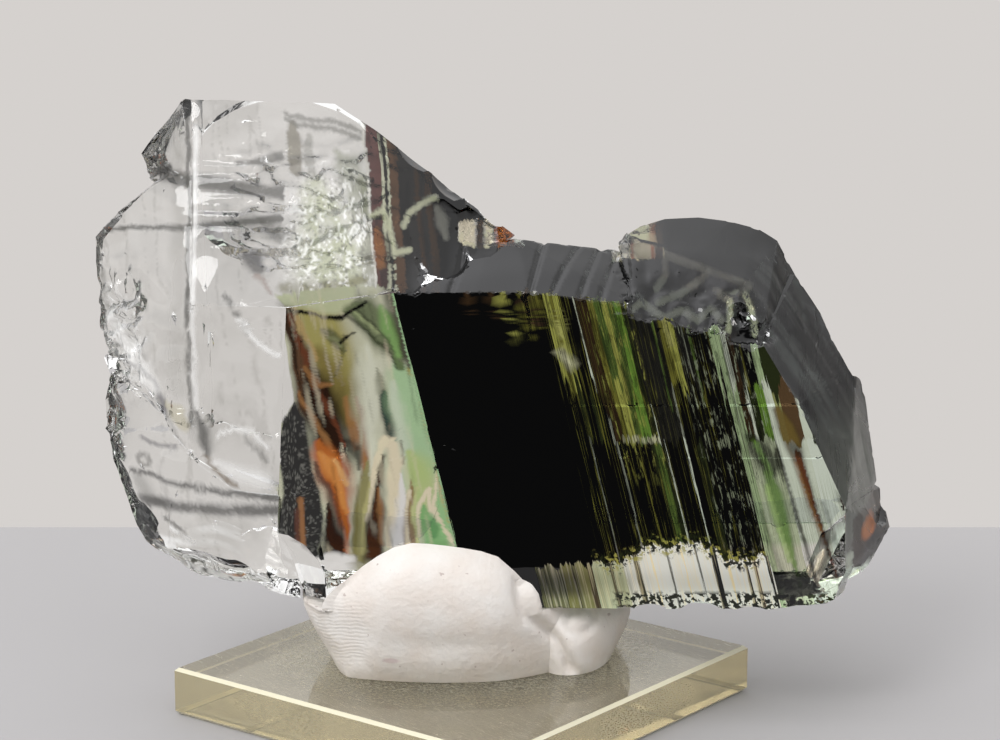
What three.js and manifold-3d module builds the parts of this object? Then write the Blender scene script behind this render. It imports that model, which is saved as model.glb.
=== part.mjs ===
// Andara crystal: a broken lump of glass, clear at one end and banded black and green at the other,
// pressed into a lump of putty on a square acrylic plate. Millimetres, +Z up.
// The origin is the centre of the plate's underside. +X runs along the crystal, -Y is its flat front.
import * as THREE from 'three';
import { ConvexGeometry } from 'three/addons/geometries/ConvexGeometry.js';
import { mergeVertices } from 'three/addons/utils/BufferGeometryUtils.js';
import Module from 'manifold-3d';

const wasm = await Module();
wasm.setup();

// ---- driving dimensions -------------------------------------------------------------------
const PLATE_SIDE = 50;
const PLATE_THICK = 6;
const PLATE_TURN = 52; // degrees about Z
const PLATE_BEVEL = 0.4;

const FOOT_Z = 15; // the crystal's lower edge
const LIP_Z = 52; // the front face's upper edge at the ledge
const FRONT_FOOT_Y = -7; // the front face at the lower edge
const FRONT_LEAN = 7.4; // degrees that the front face leans back
const TOWER_LEAN = 31; // degrees that the tall clear facet leans back
const LEFT_STEP = 0.8; // the clear end's front lies this far behind the dark front
const RIPPLE = 0.06; // a flake's ripples, as a share of its depth

const rad = THREE.MathUtils.degToRad;

// ---- solids --------------------------------------------------------------------------------
function toSolid(geometry) {
  const bare = geometry.clone();
  bare.deleteAttribute('normal');
  bare.deleteAttribute('uv');
  const merged = mergeVertices(bare, 1e-4);
  return new wasm.Manifold(new wasm.Mesh({
    numProp: 3,
    vertProperties: new Float32Array(merged.attributes.position.array),
    triVerts: new Uint32Array(merged.index.array),
  }));
}

function toGeometry(solid) {
  const { vertProperties, triVerts } = solid.getMesh();
  const geometry = new THREE.BufferGeometry();
  geometry.setAttribute('position', new THREE.BufferAttribute(new Float32Array(vertProperties), 3));
  geometry.setIndex(new THREE.BufferAttribute(new Uint32Array(triVerts), 1));
  geometry.computeVertexNormals();
  return geometry;
}

// A lump of glass with flat facets, from its corners.
function block(corners) {
  return toSolid(new ConvexGeometry(corners.map((p) => new THREE.Vector3(...p))));
}

// The volume that one flake takes away: a shallow bowl of the given radius and depth, ringed with
// low ripples, open towards `out`, with flaring walls above it. `stretch` lengthens it upwards.
function flake({ at, out, radius, depth, ripples = 0, stretch = 1 }) {
  const sides = Math.round(9 + 1.3 * radius);
  const steps = Math.max(4, ripples * 3);
  const height = radius * 0.9;
  const profile = [];
  for (let i = 0; i <= steps; i += 1) {
    const t = i / steps;
    const wave = RIPPLE * depth * Math.sin(t * ripples * Math.PI * 2) * t * (1 - t) * 4;
    profile.push(new THREE.Vector2(radius * t, -depth * (1 - t * t) + wave));
  }
  profile.push(new THREE.Vector2(radius * 1.25, height), new THREE.Vector2(0, height));
  const bowl = new THREE.LatheGeometry(profile, sides);
  const up = new THREE.Vector3(...out).normalize();
  const side = new THREE.Vector3(0, 0, 1).cross(up).normalize();
  const along = side.clone().cross(up).negate().normalize();
  const turn = new THREE.Matrix4().makeBasis(side, up, along);
  if (turn.determinant() < 0) turn.makeBasis(side.negate(), up, along);
  const grow = new THREE.Matrix4().makeScale(1, 1, stretch);
  const move = new THREE.Matrix4().makeTranslation(...at);
  bowl.applyMatrix4(move.multiply(turn).multiply(grow));
  return toSolid(bowl);
}

// ---- the crystal's main faces -----------------------------------------------------------------
// Points on the flat dark front, the clear front a step behind it, and the tall clear facet.
const frontY = (z) => FRONT_FOOT_Y + Math.tan(rad(FRONT_LEAN)) * (z - FOOT_Z);
const front = (x, z) => [x, frontY(z), z];
const clearFront = (x, z) => [x, frontY(z) + LEFT_STEP, z];
const towerFace = (x, z) => [x, frontY(LIP_Z) + Math.tan(rad(TOWER_LEAN)) * (z - LIP_Z + 1), z];

// The dark slab: flat front, right side face, the sloping ledge along its top, and a steep bevel
// behind its lower edge.
const slab = [
  front(-21, 50.2), front(-7.7, LIP_Z), front(8, LIP_Z), front(20.4, 50.4), front(35.5, 46.1),
  front(40, 38.7), front(45.7, 26.3), front(45.8, 18.8), front(44.2, FOOT_Z), front(36.8, 14.2),
  front(-14.8, 14.6), front(-19.6, 14.8), front(-22.3, 22.5),
  [-0.4, 5, 55.7], [6.3, 6, 56.8], [10, 6.5, 56.2], [21.5, 7.5, 54.2],
  [40.6, 11, 51.4], [43.6, 12.4, 45.6], [48.7, 13, 39.2], [50.1, 13, 34.8], [51.4, 12, 25],
  [47, 15.5, 26], [38, 17, 40], [10, 16.5, 52], [-20, 15, 50], [-20, 15, 26],
  [44, 13.5, 18.4], [42, 10.5, 14.6], [-18, 13.5, 18.4], [-17, 10.5, 14.8],
];

// The raised knob at the right of the ledge.
const knob = [
  front(20.4, 50.4), front(35.5, 46.1), [21.3, 5, 54.6], [18.6, 8, 56.2], [21.5, 10.5, 57.5],
  [24.6, 12, 58.2], [28.8, 13, 58.2], [32.6, 13, 57.7], [36.1, 12.5, 56.8], [38.4, 11.5, 55.6],
  [40.6, 12, 51.4], [43.6, 13, 45.2], [40, 17, 42], [30, 18, 52], [20, 15, 53],
  [24, 0, 52.6], [33.6, 1.6, 51.9],
];

// The small dark corner that sticks out at the lower right.
const corner = [
  front(45.7, 26.3), front(45.8, 18.8), front(44.2, FOOT_Z), [49.6, 3, 16.7], [52.8, 9, 19.8],
  [51.8, 12, 24], [48, 14, 26], [44, 13, 21], [43, 3, 15],
];

// The tall clear tower, whose right side is the banded slope down to the ledge.
const tower = [
  towerFace(-33, 73), towerFace(-20.7, 72.8), towerFace(-15.6, 72.6), [-10.6, 9.6, 69.4],
  [-7.5, 9, 67], [-2.9, 8.2, 63], [0.2, 7.2, 60.4], [6.2, 6.2, 57.2], [-0.4, 4.4, 55.5],
  front(-10.3, 51.8), front(-21, 50.3), [-32.3, -1.6, 50.3],
  [-32, 16, 71.6], [-16, 16.5, 71.4], [-8, 15, 65], [4, 12, 56.6], [0, 15, 50], [-31, 15, 44],
];

// The clear end: its front left of the dark slab, and the two facets left of the upright ridge.
const clearMiddle = [
  clearFront(-32.4, 50.2), clearFront(-20.5, 50.2), clearFront(-21, 29), clearFront(-25.4, 28.7),
  clearFront(-29.6, 30.6), clearFront(-32.5, 32.4), clearFront(-32.5, 36),
  [-31, 15, 52], [-20, 15, 50], [-20, 14, 30], [-31, 13.4, 33],
];
const leftLower = [
  [-35.4, 6.6, 65], [-42, 9, 59.6], [-44.8, 9.4, 56.5], [-44.9, 9.4, 50.6], [-44.4, 9, 45],
  [-43.2, 6.5, 40.6], [-40.3, 2.6, 39.7], [-36.4, -1.4, 36.7], clearFront(-32.5, 32.6),
  clearFront(-32.4, 50.4), [-32.6, 5.6, 64],
  [-36, 14, 64], [-43.6, 11.4, 56], [-43.6, 11, 46], [-32, 15, 60], [-32, 13.4, 34], [-41, 11, 38],
];
const leftUpper = [
  towerFace(-33, 73), [-34, 10, 73.3], [-37, 10, 69.4], [-39.2, 10.4, 66.4], [-38, 9.4, 63.5],
  [-35.2, 7, 65], [-32.6, 5.6, 64], [-37.6, 12.6, 66], [-33, 15.4, 71.4], [-37, 12.6, 62],
  [-32, 15.4, 60],
];

// The rounded clear foot below the curved step.
const foot = [
  [-43, 6, 40.2], [-44.9, 7.6, 35.3], [-44.9, 7.6, 33.5], [-43.3, 7, 31.2], [-42.4, 7, 26.7],
  [-40.3, 5.6, 21], [-38.4, 4.6, 17.9], [-32.2, 2.6, 15.3], [-24.7, 0.4, 14.7], [-19.7, -3, 14.3],
  [-40.4, 3.4, 39.4], [-36.2, 0, 36.4], [-32.5, -3.4, 32.8], [-25.4, -4.2, 28.5],
  [-20, -5.4, 28], [-20, -5.6, 18], [-28, -3.2, 20], [-36, 0.6, 24],
  [-42.6, 10, 38], [-41, 11.6, 29], [-35, 9.6, 19.4], [-24, 11, 17.6], [-20, 14, 30],
  [-20, 9, 15.2], [-31, 13.4, 40],
];

const BLOCKS = [slab, knob, corner, tower, clearMiddle, leftLower, leftUpper, foot];

// Flake scars: shells broken off the faces, most of them struck from an edge.
const FLAKES = [
  // along the knob's front edge, and up its face
  { at: [22.6, -2.2, 50.4], out: [-0.1, -0.8, 0.6], radius: 3.4, depth: 0.8 },
  { at: [28, -2.8, 48.6], out: [0.05, -0.8, 0.6], radius: 4, depth: 0.7 },
  { at: [33.4, -2.6, 47.2], out: [0.2, -0.8, 0.5], radius: 2.8, depth: 0.9 },
  { at: [27, -0.6, 51.2], out: [0.05, -0.66, 0.74], radius: 6.4, depth: 0.7, ripples: 2 },
  { at: [33, -1.2, 49], out: [0.14, -0.8, 0.59], radius: 1, depth: 1.2, stretch: 1.7 },
  { at: [35, -1.4, 48.4], out: [0.6, -0.7, 0.4], radius: 2.6, depth: 0.6 },
  // banded slope of the tower, struck from the line where it meets the ledge
  { at: [-7.4, 1.4, 56], out: [0.22, -0.82, 0.5], radius: 3.4, depth: 0.7, stretch: 1.5 },
  { at: [-3.2, 4, 57.4], out: [0.3, -0.8, 0.5], radius: 4, depth: 0.7, stretch: 1.3 },
  { at: [1.2, 5.4, 57.4], out: [0.35, -0.7, 0.6], radius: 3.4, depth: 0.8 },
  { at: [-6.2, 9.4, 66.4], out: [0.6, -0.3, 0.72], radius: 2.6, depth: 0.6 },
  { at: [-2, 8.6, 62.8], out: [0.6, -0.3, 0.72], radius: 2.4, depth: 0.6 },
  { at: [2.4, 7.4, 60], out: [0.6, -0.3, 0.72], radius: 2.4, depth: 0.7 },
  // notches behind the ledge
  { at: [4.4, 9, 58.6], out: [0.4, -0.1, 0.9], radius: 2.6, depth: 0.9 },
  { at: [18.4, 8.4, 56.2], out: [-0.5, -0.1, 0.85], radius: 2.6, depth: 0.8 },
  // clear end: the left facet's outline, the curved step and the foot
  { at: [-45.2, 8.8, 47], out: [-0.8, -0.6, 0.1], radius: 6.4, depth: 0.8, ripples: 3 },
  { at: [-44.8, 7.4, 37.2], out: [-0.75, -0.6, -0.2], radius: 5, depth: 1 },
  { at: [-43.8, 7, 30.6], out: [-0.9, -0.4, 0], radius: 2.6, depth: 0.8 },
  { at: [-42.6, 5.8, 26], out: [-0.7, -0.7, -0.1], radius: 8, depth: 1.1, ripples: 3 },
  { at: [-30, 0.4, 15.4], out: [-0.36, -0.86, -0.36], radius: 10, depth: 1.5, ripples: 4 },
  { at: [-22.6, -3.4, 17], out: [-0.3, -0.92, -0.2], radius: 6.6, depth: 1, ripples: 2 },
  { at: [-37.6, 4.4, 17.6], out: [-0.44, -0.7, -0.56], radius: 4.4, depth: 0.8 },
  { at: [-26, 1, 14.6], out: [0, -0.3, -0.95], radius: 2.6, depth: 0.7 },
  { at: [-39.2, 10.4, 65.2], out: [-0.9, -0.3, -0.2], radius: 2.2, depth: 0.6 },
  { at: [-36, 10.6, 71.2], out: [-0.7, -0.4, 0.6], radius: 3.4, depth: 0.5 },
  // right side
  { at: [49, 8, 33], out: [0.94, -0.29, 0.17], radius: 7.4, depth: 0.5, stretch: 1.7 },
  { at: [48, -1, 17], out: [0.5, -0.6, -0.6], radius: 3.2, depth: 0.7 },
  // lower edge
  { at: [28.4, -6.4, 14], out: [0, -0.3, -0.95], radius: 2.8, depth: 1.1 },
  { at: [22.4, -6.4, 14.3], out: [0, -0.3, -0.95], radius: 2, depth: 0.5 },
  { at: [34.4, -6.4, 13.8], out: [0, -0.3, -0.95], radius: 2.4, depth: 0.6 },
  { at: [40, -6.4, 13.8], out: [0.1, -0.4, -0.9], radius: 2.8, depth: 0.6 },
  // back
  { at: [-22, 16.2, 59], out: [0, 0.98, 0.1], radius: 13, depth: 4, ripples: 4 },
  { at: [-1, 15.6, 44], out: [0.05, 0.98, 0.1], radius: 9, depth: 1.6, ripples: 3 },
  { at: [42, 15, 44], out: [0.6, 0.8, 0.1], radius: 9, depth: 1.6, ripples: 3 },
  { at: [-41, 12.6, 49], out: [-0.3, 0.95, 0], radius: 8, depth: 1.4, ripples: 3 },
  { at: [-12, 14.6, 24], out: [0, 0.95, -0.2], radius: 9, depth: 1.8, ripples: 3 },
];

// Long level steps across the back of the banded end, each [lowest x, highest x, lower z, upper z, y].
const BACK_STEPS = [
  [6, 60, 28, 34.6, 14.6],
  [9, 60, 20, 28.2, 13.6],
];

function stepCut([left, right, lower, upper, y]) {
  const cut = new THREE.BoxGeometry(right - left, 20, upper - lower);
  cut.translate((left + right) / 2, y + 10, (lower + upper) / 2);
  return toSolid(cut);
}

function crystalSolid() {
  const whole = BLOCKS.map(block).reduce((sum, next) => sum.add(next));
  const cuts = [...FLAKES.map(flake), ...BACK_STEPS.map(stepCut)];
  return cuts.reduce((rest, cut) => rest.subtract(cut), whole);
}

// ---- the putty --------------------------------------------------------------------------------
// A hand-pressed lump: a sphere drawn out along X, with its own height and depth at each station.
function lump({ from, to, low, high, front: nearY, back: farY, soft = 0.72 }) {
  const ball = new THREE.SphereGeometry(1, 40, 26);
  ball.rotateZ(Math.PI / 2);
  const place = ball.attributes.position;
  const round = (v) => Math.sign(v) * Math.abs(v) ** soft;
  for (let i = 0; i < place.count; i += 1) {
    const along = THREE.MathUtils.clamp(place.getX(i), -1, 1);
    const t = (along + 1) / 2;
    const ring = Math.sqrt(Math.max(0, 1 - along * along));
    const fill = ring > 0 ? ring ** 0.75 / ring : 0;
    const y = round(place.getY(i) * fill);
    const z = round(place.getZ(i) * fill);
    const middleY = (nearY(t) + farY(t)) / 2;
    const middleZ = (low(t) + high(t)) / 2;
    place.setXYZ(
      i,
      THREE.MathUtils.lerp(from, to, t),
      middleY + (y * (farY(t) - nearY(t))) / 2,
      middleZ + (z * (high(t) - low(t))) / 2,
    );
  }
  return toSolid(ball);
}

function puttySolid() {
  const bulk = lump({
    from: -19.6,
    to: 15.5,
    low: (t) => 1 + 62 * Math.max(0, 0.17 - t) ** 1.05,
    high: (t) => 24.6 - 22 * Math.max(0, 0.36 - t) ** 1.3 - 30 * Math.max(0, t - 0.66) ** 1.2,
    front: (t) => -11.4 + 22 * Math.max(0, t - 0.66) ** 1.4,
    back: (t) => 17.8 - 20 * (t - 0.5) ** 2,
  });
  const tail = lump({
    from: 8.5,
    to: 20.6,
    low: (t) => 2 + 16 * Math.max(0, t - 0.52) ** 1.2,
    high: (t) => 15.6 - 2 * t,
    front: (t) => -9 + 8 * t ** 2,
    back: (t) => 15 - 3 * t,
  });
  const below = new THREE.BoxGeometry(80, 80, 10);
  below.translate(0, 0, PLATE_THICK - 5);
  const middle = new THREE.Vector3(12, 5, 34);
  const grow = new THREE.Vector3(1.012, 1.04, 1.016);
  const socket = slab.map((p) => new THREE.Vector3(...p).sub(middle).multiply(grow).add(middle).toArray());
  return bulk.add(tail).subtract(toSolid(below)).subtract(block(socket));
}

// ---- the plate ----------------------------------------------------------------------------------
function plateGeometry() {
  const half = PLATE_SIDE / 2 - PLATE_BEVEL;
  const outline = new THREE.Shape([
    new THREE.Vector2(-half, -half),
    new THREE.Vector2(half, -half),
    new THREE.Vector2(half, half),
    new THREE.Vector2(-half, half),
  ]);
  const plate = new THREE.ExtrudeGeometry(outline, {
    depth: PLATE_THICK - 2 * PLATE_BEVEL,
    bevelThickness: PLATE_BEVEL,
    bevelSize: PLATE_BEVEL,
    bevelSegments: 1,
  });
  plate.translate(0, 0, PLATE_BEVEL);
  return plate;
}

// ---- assembly -------------------------------------------------------------------------------------
const glass = new THREE.MeshStandardMaterial({ color: 0x2b3327, roughness: 0.05, metalness: 0 });
const putty = new THREE.MeshStandardMaterial({ color: 0xe4dfd8, roughness: 0.75, metalness: 0 });
const acrylic = new THREE.MeshStandardMaterial({ color: 0xc9bd8a, roughness: 0.08, metalness: 0 });

function piece(name, geometry, material) {
  const mesh = new THREE.Mesh(geometry, material);
  mesh.name = name;
  return mesh;
}

const specimen = new THREE.Group();
specimen.add(piece('crystal', toGeometry(crystalSolid()), glass));
specimen.add(piece('putty', toGeometry(puttySolid()), putty));

const plate = piece('base_plate', plateGeometry(), acrylic);
plate.rotation.z = rad(PLATE_TURN);
specimen.add(plate);

export default specimen;
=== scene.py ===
"""Banded glass lump in putty on an acrylic plate: the finish of each piece, made in Blender."""

import math

import bmesh
import bpy
import numpy as np
from bpy.props import FloatProperty, FloatVectorProperty, IntProperty, PointerProperty
from bpy.types import Operator, Panel, PropertyGroup
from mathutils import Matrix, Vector


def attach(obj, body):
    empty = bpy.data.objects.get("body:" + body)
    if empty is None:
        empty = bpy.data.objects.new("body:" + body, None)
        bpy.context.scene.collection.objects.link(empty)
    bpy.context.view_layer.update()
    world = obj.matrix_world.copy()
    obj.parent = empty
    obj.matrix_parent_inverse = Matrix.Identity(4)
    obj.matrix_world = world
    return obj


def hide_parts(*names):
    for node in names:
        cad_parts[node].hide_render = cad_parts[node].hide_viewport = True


bl_info = {
    "name": "Banded Glass Specimen",
    "version": (1, 0, 0),
    "blender": (4, 5, 0),
    "location": "3D View > Sidebar > Specimen",
    "description": "Finishes a banded glass lump, its putty and its acrylic plate",
    "category": "Add Mesh",
}

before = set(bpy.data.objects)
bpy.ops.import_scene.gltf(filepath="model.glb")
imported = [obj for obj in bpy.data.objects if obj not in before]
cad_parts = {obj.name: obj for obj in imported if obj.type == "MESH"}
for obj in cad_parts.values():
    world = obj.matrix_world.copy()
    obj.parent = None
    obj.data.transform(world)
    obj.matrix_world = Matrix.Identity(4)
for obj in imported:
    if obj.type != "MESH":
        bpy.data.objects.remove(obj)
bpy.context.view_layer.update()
MM = 0.001


# ---- shader maths --------------------------------------------------------------------------------


class Signal:
    """A number in a node tree. Arithmetic on it adds Math nodes."""

    def __init__(self, nodes, socket):
        self.nodes = nodes
        self.socket = socket

    def __add__(self, other):
        return self.nodes.math("ADD", self, other)

    def __radd__(self, other):
        return self.nodes.math("ADD", other, self)

    def __sub__(self, other):
        return self.nodes.math("SUBTRACT", self, other)

    def __rsub__(self, other):
        return self.nodes.math("SUBTRACT", other, self)

    def __mul__(self, other):
        return self.nodes.math("MULTIPLY", self, other)

    def __rmul__(self, other):
        return self.nodes.math("MULTIPLY", other, self)

    def __truediv__(self, other):
        return self.nodes.math("DIVIDE", self, other)

    def __pow__(self, other):
        return self.nodes.math("POWER", self, other)

    def __abs__(self):
        return self.nodes.math("ABSOLUTE", self)

    def clip(self):
        """Held between 0 and 1."""
        return self.nodes.math("ADD", self, 0.0, clamp=True)

    def above(self, edge, soft):
        """1 where this is over edge, 0 under it, with a ramp soft wide between them."""
        return self.nodes.rise(self, edge - soft / 2, edge + soft / 2)

    def below(self, edge, soft):
        return self.nodes.rise(self, edge + soft / 2, edge - soft / 2)

    def within(self, low, high, soft):
        return self.above(low, soft) * self.below(high, soft)


class Nodes:
    """Builds one material's or world's node tree."""

    def __init__(self, tree):
        self.tree = tree
        tree.nodes.clear()

    def add(self, kind, settings=None, stops=None, **inputs):
        """A node of a type, its settings, a ramp's stops, and the values or links of its sockets."""
        node = self.tree.nodes.new(kind)
        for key, value in (settings or {}).items():
            setattr(node, key, value)
        if stops:
            marks = node.color_ramp.elements
            while len(marks) > 1:
                marks.remove(marks[-1])
            for number, (place, colour) in enumerate(stops):
                mark = marks[0] if number == 0 else marks.new(place)
                mark.position = place
                mark.color = (*colour, 1.0)
        for key, value in inputs.items():
            self.feed(node, key, value)
        return node

    def feed(self, node, key, value):
        socket = node.inputs[int(key[1:])] if key[0] == "i" and key[1:].isdigit() else None
        if socket is None:
            socket = node.inputs[key.replace("_", " ")]
        if isinstance(value, Signal):
            self.tree.links.new(value.socket, socket)
        elif isinstance(value, bpy.types.NodeSocket):
            self.tree.links.new(value, socket)
        else:
            socket.default_value = value

    def math(self, operation, first, second=0.0, clamp=False):
        settings = {"operation": operation, "use_clamp": clamp}
        node = self.add("ShaderNodeMath", settings, i0=first, i1=second)
        return Signal(self, node.outputs[0])

    def rise(self, value, start, end):
        """0 up to start, 1 past end, straight between them."""
        node = self.add("ShaderNodeMapRange", i0=value, i1=start, i2=end)
        return Signal(self, node.outputs[0])

    def mix(self, first, second, factor):
        """Two colours, mixed."""
        node = self.add("ShaderNodeMix", {"data_type": "RGBA"}, i0=factor)
        for number, colour in ((6, first), (7, second)):
            if isinstance(colour, bpy.types.NodeSocket):
                self.tree.links.new(colour, node.inputs[number])
            else:
                node.inputs[number].default_value = (*colour[:3], 1.0)
        return node.outputs[2]

    def place(self):
        """Object position in millimetres, as a vector and as x, y, z."""
        at = self.add("ShaderNodeTexCoord").outputs["Object"]
        node = self.add("ShaderNodeVectorMath", {"operation": "SCALE"}, i0=at, Scale=1000.0)
        split = self.add("ShaderNodeSeparateXYZ", i0=node.outputs[0])
        return [node.outputs[0]] + [Signal(self, out) for out in split.outputs]

    def join(self, x, y, z):
        return self.add("ShaderNodeCombineXYZ", i0=x, i1=y, i2=z).outputs[0]

    def noise(self, at, scale=1.0, detail=2.0, rough=0.5):
        """Smooth noise about 0.5."""
        node = self.add(
            "ShaderNodeTexNoise",
            Vector=at, Scale=scale, Detail=detail, Roughness=rough,
        )
        return Signal(self, node.outputs[0])

    def ramp(self, value, stops, interpolation="LINEAR"):
        node = self.add("ShaderNodeValToRGB", stops=stops, i0=value)
        node.color_ramp.interpolation = interpolation
        return node.outputs[0]

    def painted(self, name):
        """A colour painted on the mesh, and its four numbers."""
        node = self.add("ShaderNodeAttribute", {"attribute_name": name})
        split = self.add("ShaderNodeSeparateColor", i0=node.outputs["Color"])
        numbers = [Signal(self, out) for out in (*split.outputs, node.outputs["Alpha"])]
        return node.outputs["Color"], numbers

    def normal(self):
        """The surface's own direction as x, y, z."""
        geometry = self.add("ShaderNodeNewGeometry")
        split = self.add("ShaderNodeSeparateXYZ", i0=geometry.outputs["Normal"])
        return [Signal(self, out) for out in split.outputs]


def material(name, **fixed):
    """A material with one Principled shader, and the builder for its tree."""
    made = bpy.data.materials.new(name)
    made.use_nodes = True
    nodes = Nodes(made.node_tree)
    shader = nodes.add("ShaderNodeBsdfPrincipled")
    output = nodes.add("ShaderNodeOutputMaterial")
    made.node_tree.links.new(shader.outputs[0], output.inputs["Surface"])
    for key, value in fixed.items():
        nodes.feed(shader, key, value)
    return made, nodes, shader


# ---- mesh helpers --------------------------------------------------------------------------------


def blend_over(made, nodes, shader, other, share):
    """Shows another shader in place of a material's own, by share."""
    blend = nodes.add("ShaderNodeMixShader", i0=share.clip())
    nodes.tree.links.new(shader.outputs[0], blend.inputs[1])
    nodes.tree.links.new(other.outputs[0], blend.inputs[2])
    output = next(node for node in nodes.tree.nodes if node.type == "OUTPUT_MATERIAL")
    nodes.tree.links.new(blend.outputs[0], output.inputs["Surface"])
    return made


def node_copy(name):
    """A merged copy of a CAD node's mesh, in a bmesh."""
    bm = bmesh.new()
    bm.from_mesh(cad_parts[name].data)
    bmesh.ops.remove_doubles(bm, verts=bm.verts, dist=1e-7)
    return bm


def mark_sharp(bm, angle):
    limit = math.radians(angle)
    for edge in bm.edges:
        edge.smooth = edge.is_manifold and edge.calc_face_angle(0.0) < limit
    for face in bm.faces:
        face.smooth = True


def refine(bm, longest):
    """Splits edges until none is longer than the length given, and evens out flat areas."""
    for _ in range(9):
        bmesh.ops.triangulate(bm, faces=[f for f in bm.faces if len(f.verts) > 3])
        long = [e for e in bm.edges if e.calc_length() > longest]
        if not long:
            break
        bmesh.ops.subdivide_edges(bm, edges=long, cuts=1, use_grid_fill=False)
    bmesh.ops.triangulate(bm, faces=[f for f in bm.faces if len(f.verts) > 3])


def triangles(bm):
    """Makes every face a triangle and drops the flat pairs left where a seam had points in line."""
    made = bmesh.ops.triangulate(bm, faces=[f for f in bm.faces if len(f.verts) > 3])["faces"]
    bm.verts.index_update()
    groups = {}
    for face in made:
        groups.setdefault(frozenset(v.index for v in face.verts), []).append(face)
    twins = [face for group in groups.values() if len(group) > 1 for face in group]
    if twins:
        bmesh.ops.delete(bm, geom=twins, context="FACES")


def slice_up(bm, step):
    """Cuts every face along two sets of planes, so that the surface can bend."""
    low = np.min([v.co for v in bm.verts], axis=0)
    high = np.max([v.co for v in bm.verts], axis=0)
    for axis in (0, 2):
        normal = [float(axis == k) for k in range(3)]
        for number in range(math.ceil((high[axis] - low[axis]) / step)):
            middle = [(low[axis] + (number + 0.37) * step) * n for n in normal]
            everything = bm.verts[:] + bm.edges[:] + bm.faces[:]
            bmesh.ops.bisect_plane(bm, geom=everything, dist=5e-5, plane_co=middle, plane_no=normal)
    triangles(bm)


def relax(bm, rounds, factor=0.5):
    """Rounds shallow creases and leaves sharp edges and flat faces where they are."""
    pinned = np.zeros(len(bm.verts), bool)
    bm.verts.index_update()
    pairs = []
    for edge in bm.edges:
        a, b = edge.verts[0].index, edge.verts[1].index
        if not edge.smooth:
            pinned[[a, b]] = True
        pairs.append((a, b))
    pairs = np.array(pairs)
    place = np.array([v.co for v in bm.verts])
    count = np.bincount(pairs.ravel(), minlength=len(place))[:, None]
    for _ in range(rounds):
        total = np.zeros_like(place)
        np.add.at(total, pairs[:, 0], place[pairs[:, 1]])
        np.add.at(total, pairs[:, 1], place[pairs[:, 0]])
        moved = place + factor * (total / count - place)
        place[~pinned] = moved[~pinned]
    return place


def subdivide(bm, test, longest):
    """Halves the edges longer than longest, in mm, of the faces that pass a test of place and facing."""
    area = bm.faces.layers.int.new("area")
    for face in bm.faces:
        face[area] = test(*(face.calc_center_median() / MM), *face.normal)
    for _ in range(4):
        edges = {e for face in bm.faces if face[area] for e in face.edges}
        edges = [e for e in edges if e.calc_length() > longest * MM]
        if not edges:
            break
        bmesh.ops.subdivide_edges(bm, edges=edges, cuts=1)
        triangles(bm)
    bm.faces.layers.int.remove(area)


def put_back(bm, place):
    for vert, spot in zip(bm.verts, place):
        vert.co = spot


def waves(place, seed, count, longest, shortest, power=1.0):
    """A smooth wandering vector for each point: sines of many directions and lengths, in metres."""
    rng = np.random.default_rng(seed)
    total = np.zeros_like(place)
    for _ in range(count):
        length = shortest * (longest / shortest) ** rng.random()
        direction = rng.normal(size=3)
        direction /= np.linalg.norm(direction)
        phase = rng.random() * 2 * np.pi
        push = rng.normal(size=3) * (length / longest) ** power
        total += np.sin(place @ direction * 2 * np.pi / length + phase)[:, None] * push
    return total / math.sqrt(count)


def folds(place, seed, count, longest, shortest):
    """Crumple: sharp-creased triangle waves of many directions, one number for each point."""
    rng = np.random.default_rng(seed)
    bent = place + waves(place, seed + 1, 6, longest * 2, longest) * longest * 0.25
    total = np.zeros(len(place))
    for _ in range(count):
        length = shortest * (longest / shortest) ** rng.random()
        direction = rng.normal(size=3)
        direction /= np.linalg.norm(direction)
        turn = bent @ direction / length + rng.random()
        total += (np.abs(turn % 1.0 - 0.5) * 4 - 1) * length / longest
    return total / math.sqrt(count)


def smooth_step(value, low, high):
    t = np.clip((value - low) / (high - low), 0, 1)
    return t * t * (3 - 2 * t)


def span(value, low, high, soft=0.3):
    """1 between low and high, 0 outside, with soft edges."""
    rise = smooth_step(value, low - soft / 2, low + soft / 2)
    return rise * (1 - smooth_step(value, high - soft / 2, high + soft / 2))


def blot(x, z, middle, size, soft=0.3):
    """A soft-edged oval."""
    away = np.hypot((x - middle[0]) / size[0], (z - middle[1]) / size[1])
    return 1 - smooth_step(away, 1 - soft, 1 + soft)


def streaks(across, along, seed, wide, far, count=14):
    """Wandering lines about 0: quick changes across them, slow ones along."""
    rng = np.random.default_rng(seed)
    total = np.zeros(len(across))
    for _ in range(count):
        turn = across / (wide * (0.6 + rng.random() * 2))
        turn = turn + along / (far * (0.6 + rng.random())) * rng.choice((-1, 1))
        total += np.sin((turn + rng.random()) * 2 * np.pi)
    return total / math.sqrt(count / 2)


def mottle(across, along, seed):
    """Smooth cloudy noise about 0.5, one cloud for each unit of across and along."""
    lattice = np.random.default_rng(seed).random((97, 97))
    total = np.zeros(len(across))
    for octave in range(3):
        a, b = across * 2.1 ** octave + 17 * octave, along * 2.1 ** octave + 5 * octave
        i, j = np.floor(a).astype(int), np.floor(b).astype(int)
        s, t = smooth_step(a - i, 0, 1), smooth_step(b - j, 0, 1)
        near = lattice[i % 97, j % 97] * (1 - s) + lattice[(i + 1) % 97, j % 97] * s
        far = lattice[i % 97, (j + 1) % 97] * (1 - s) + lattice[(i + 1) % 97, (j + 1) % 97] * s
        total += (near * (1 - t) + far * t) / 2 ** octave
    return total / 1.75


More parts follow.
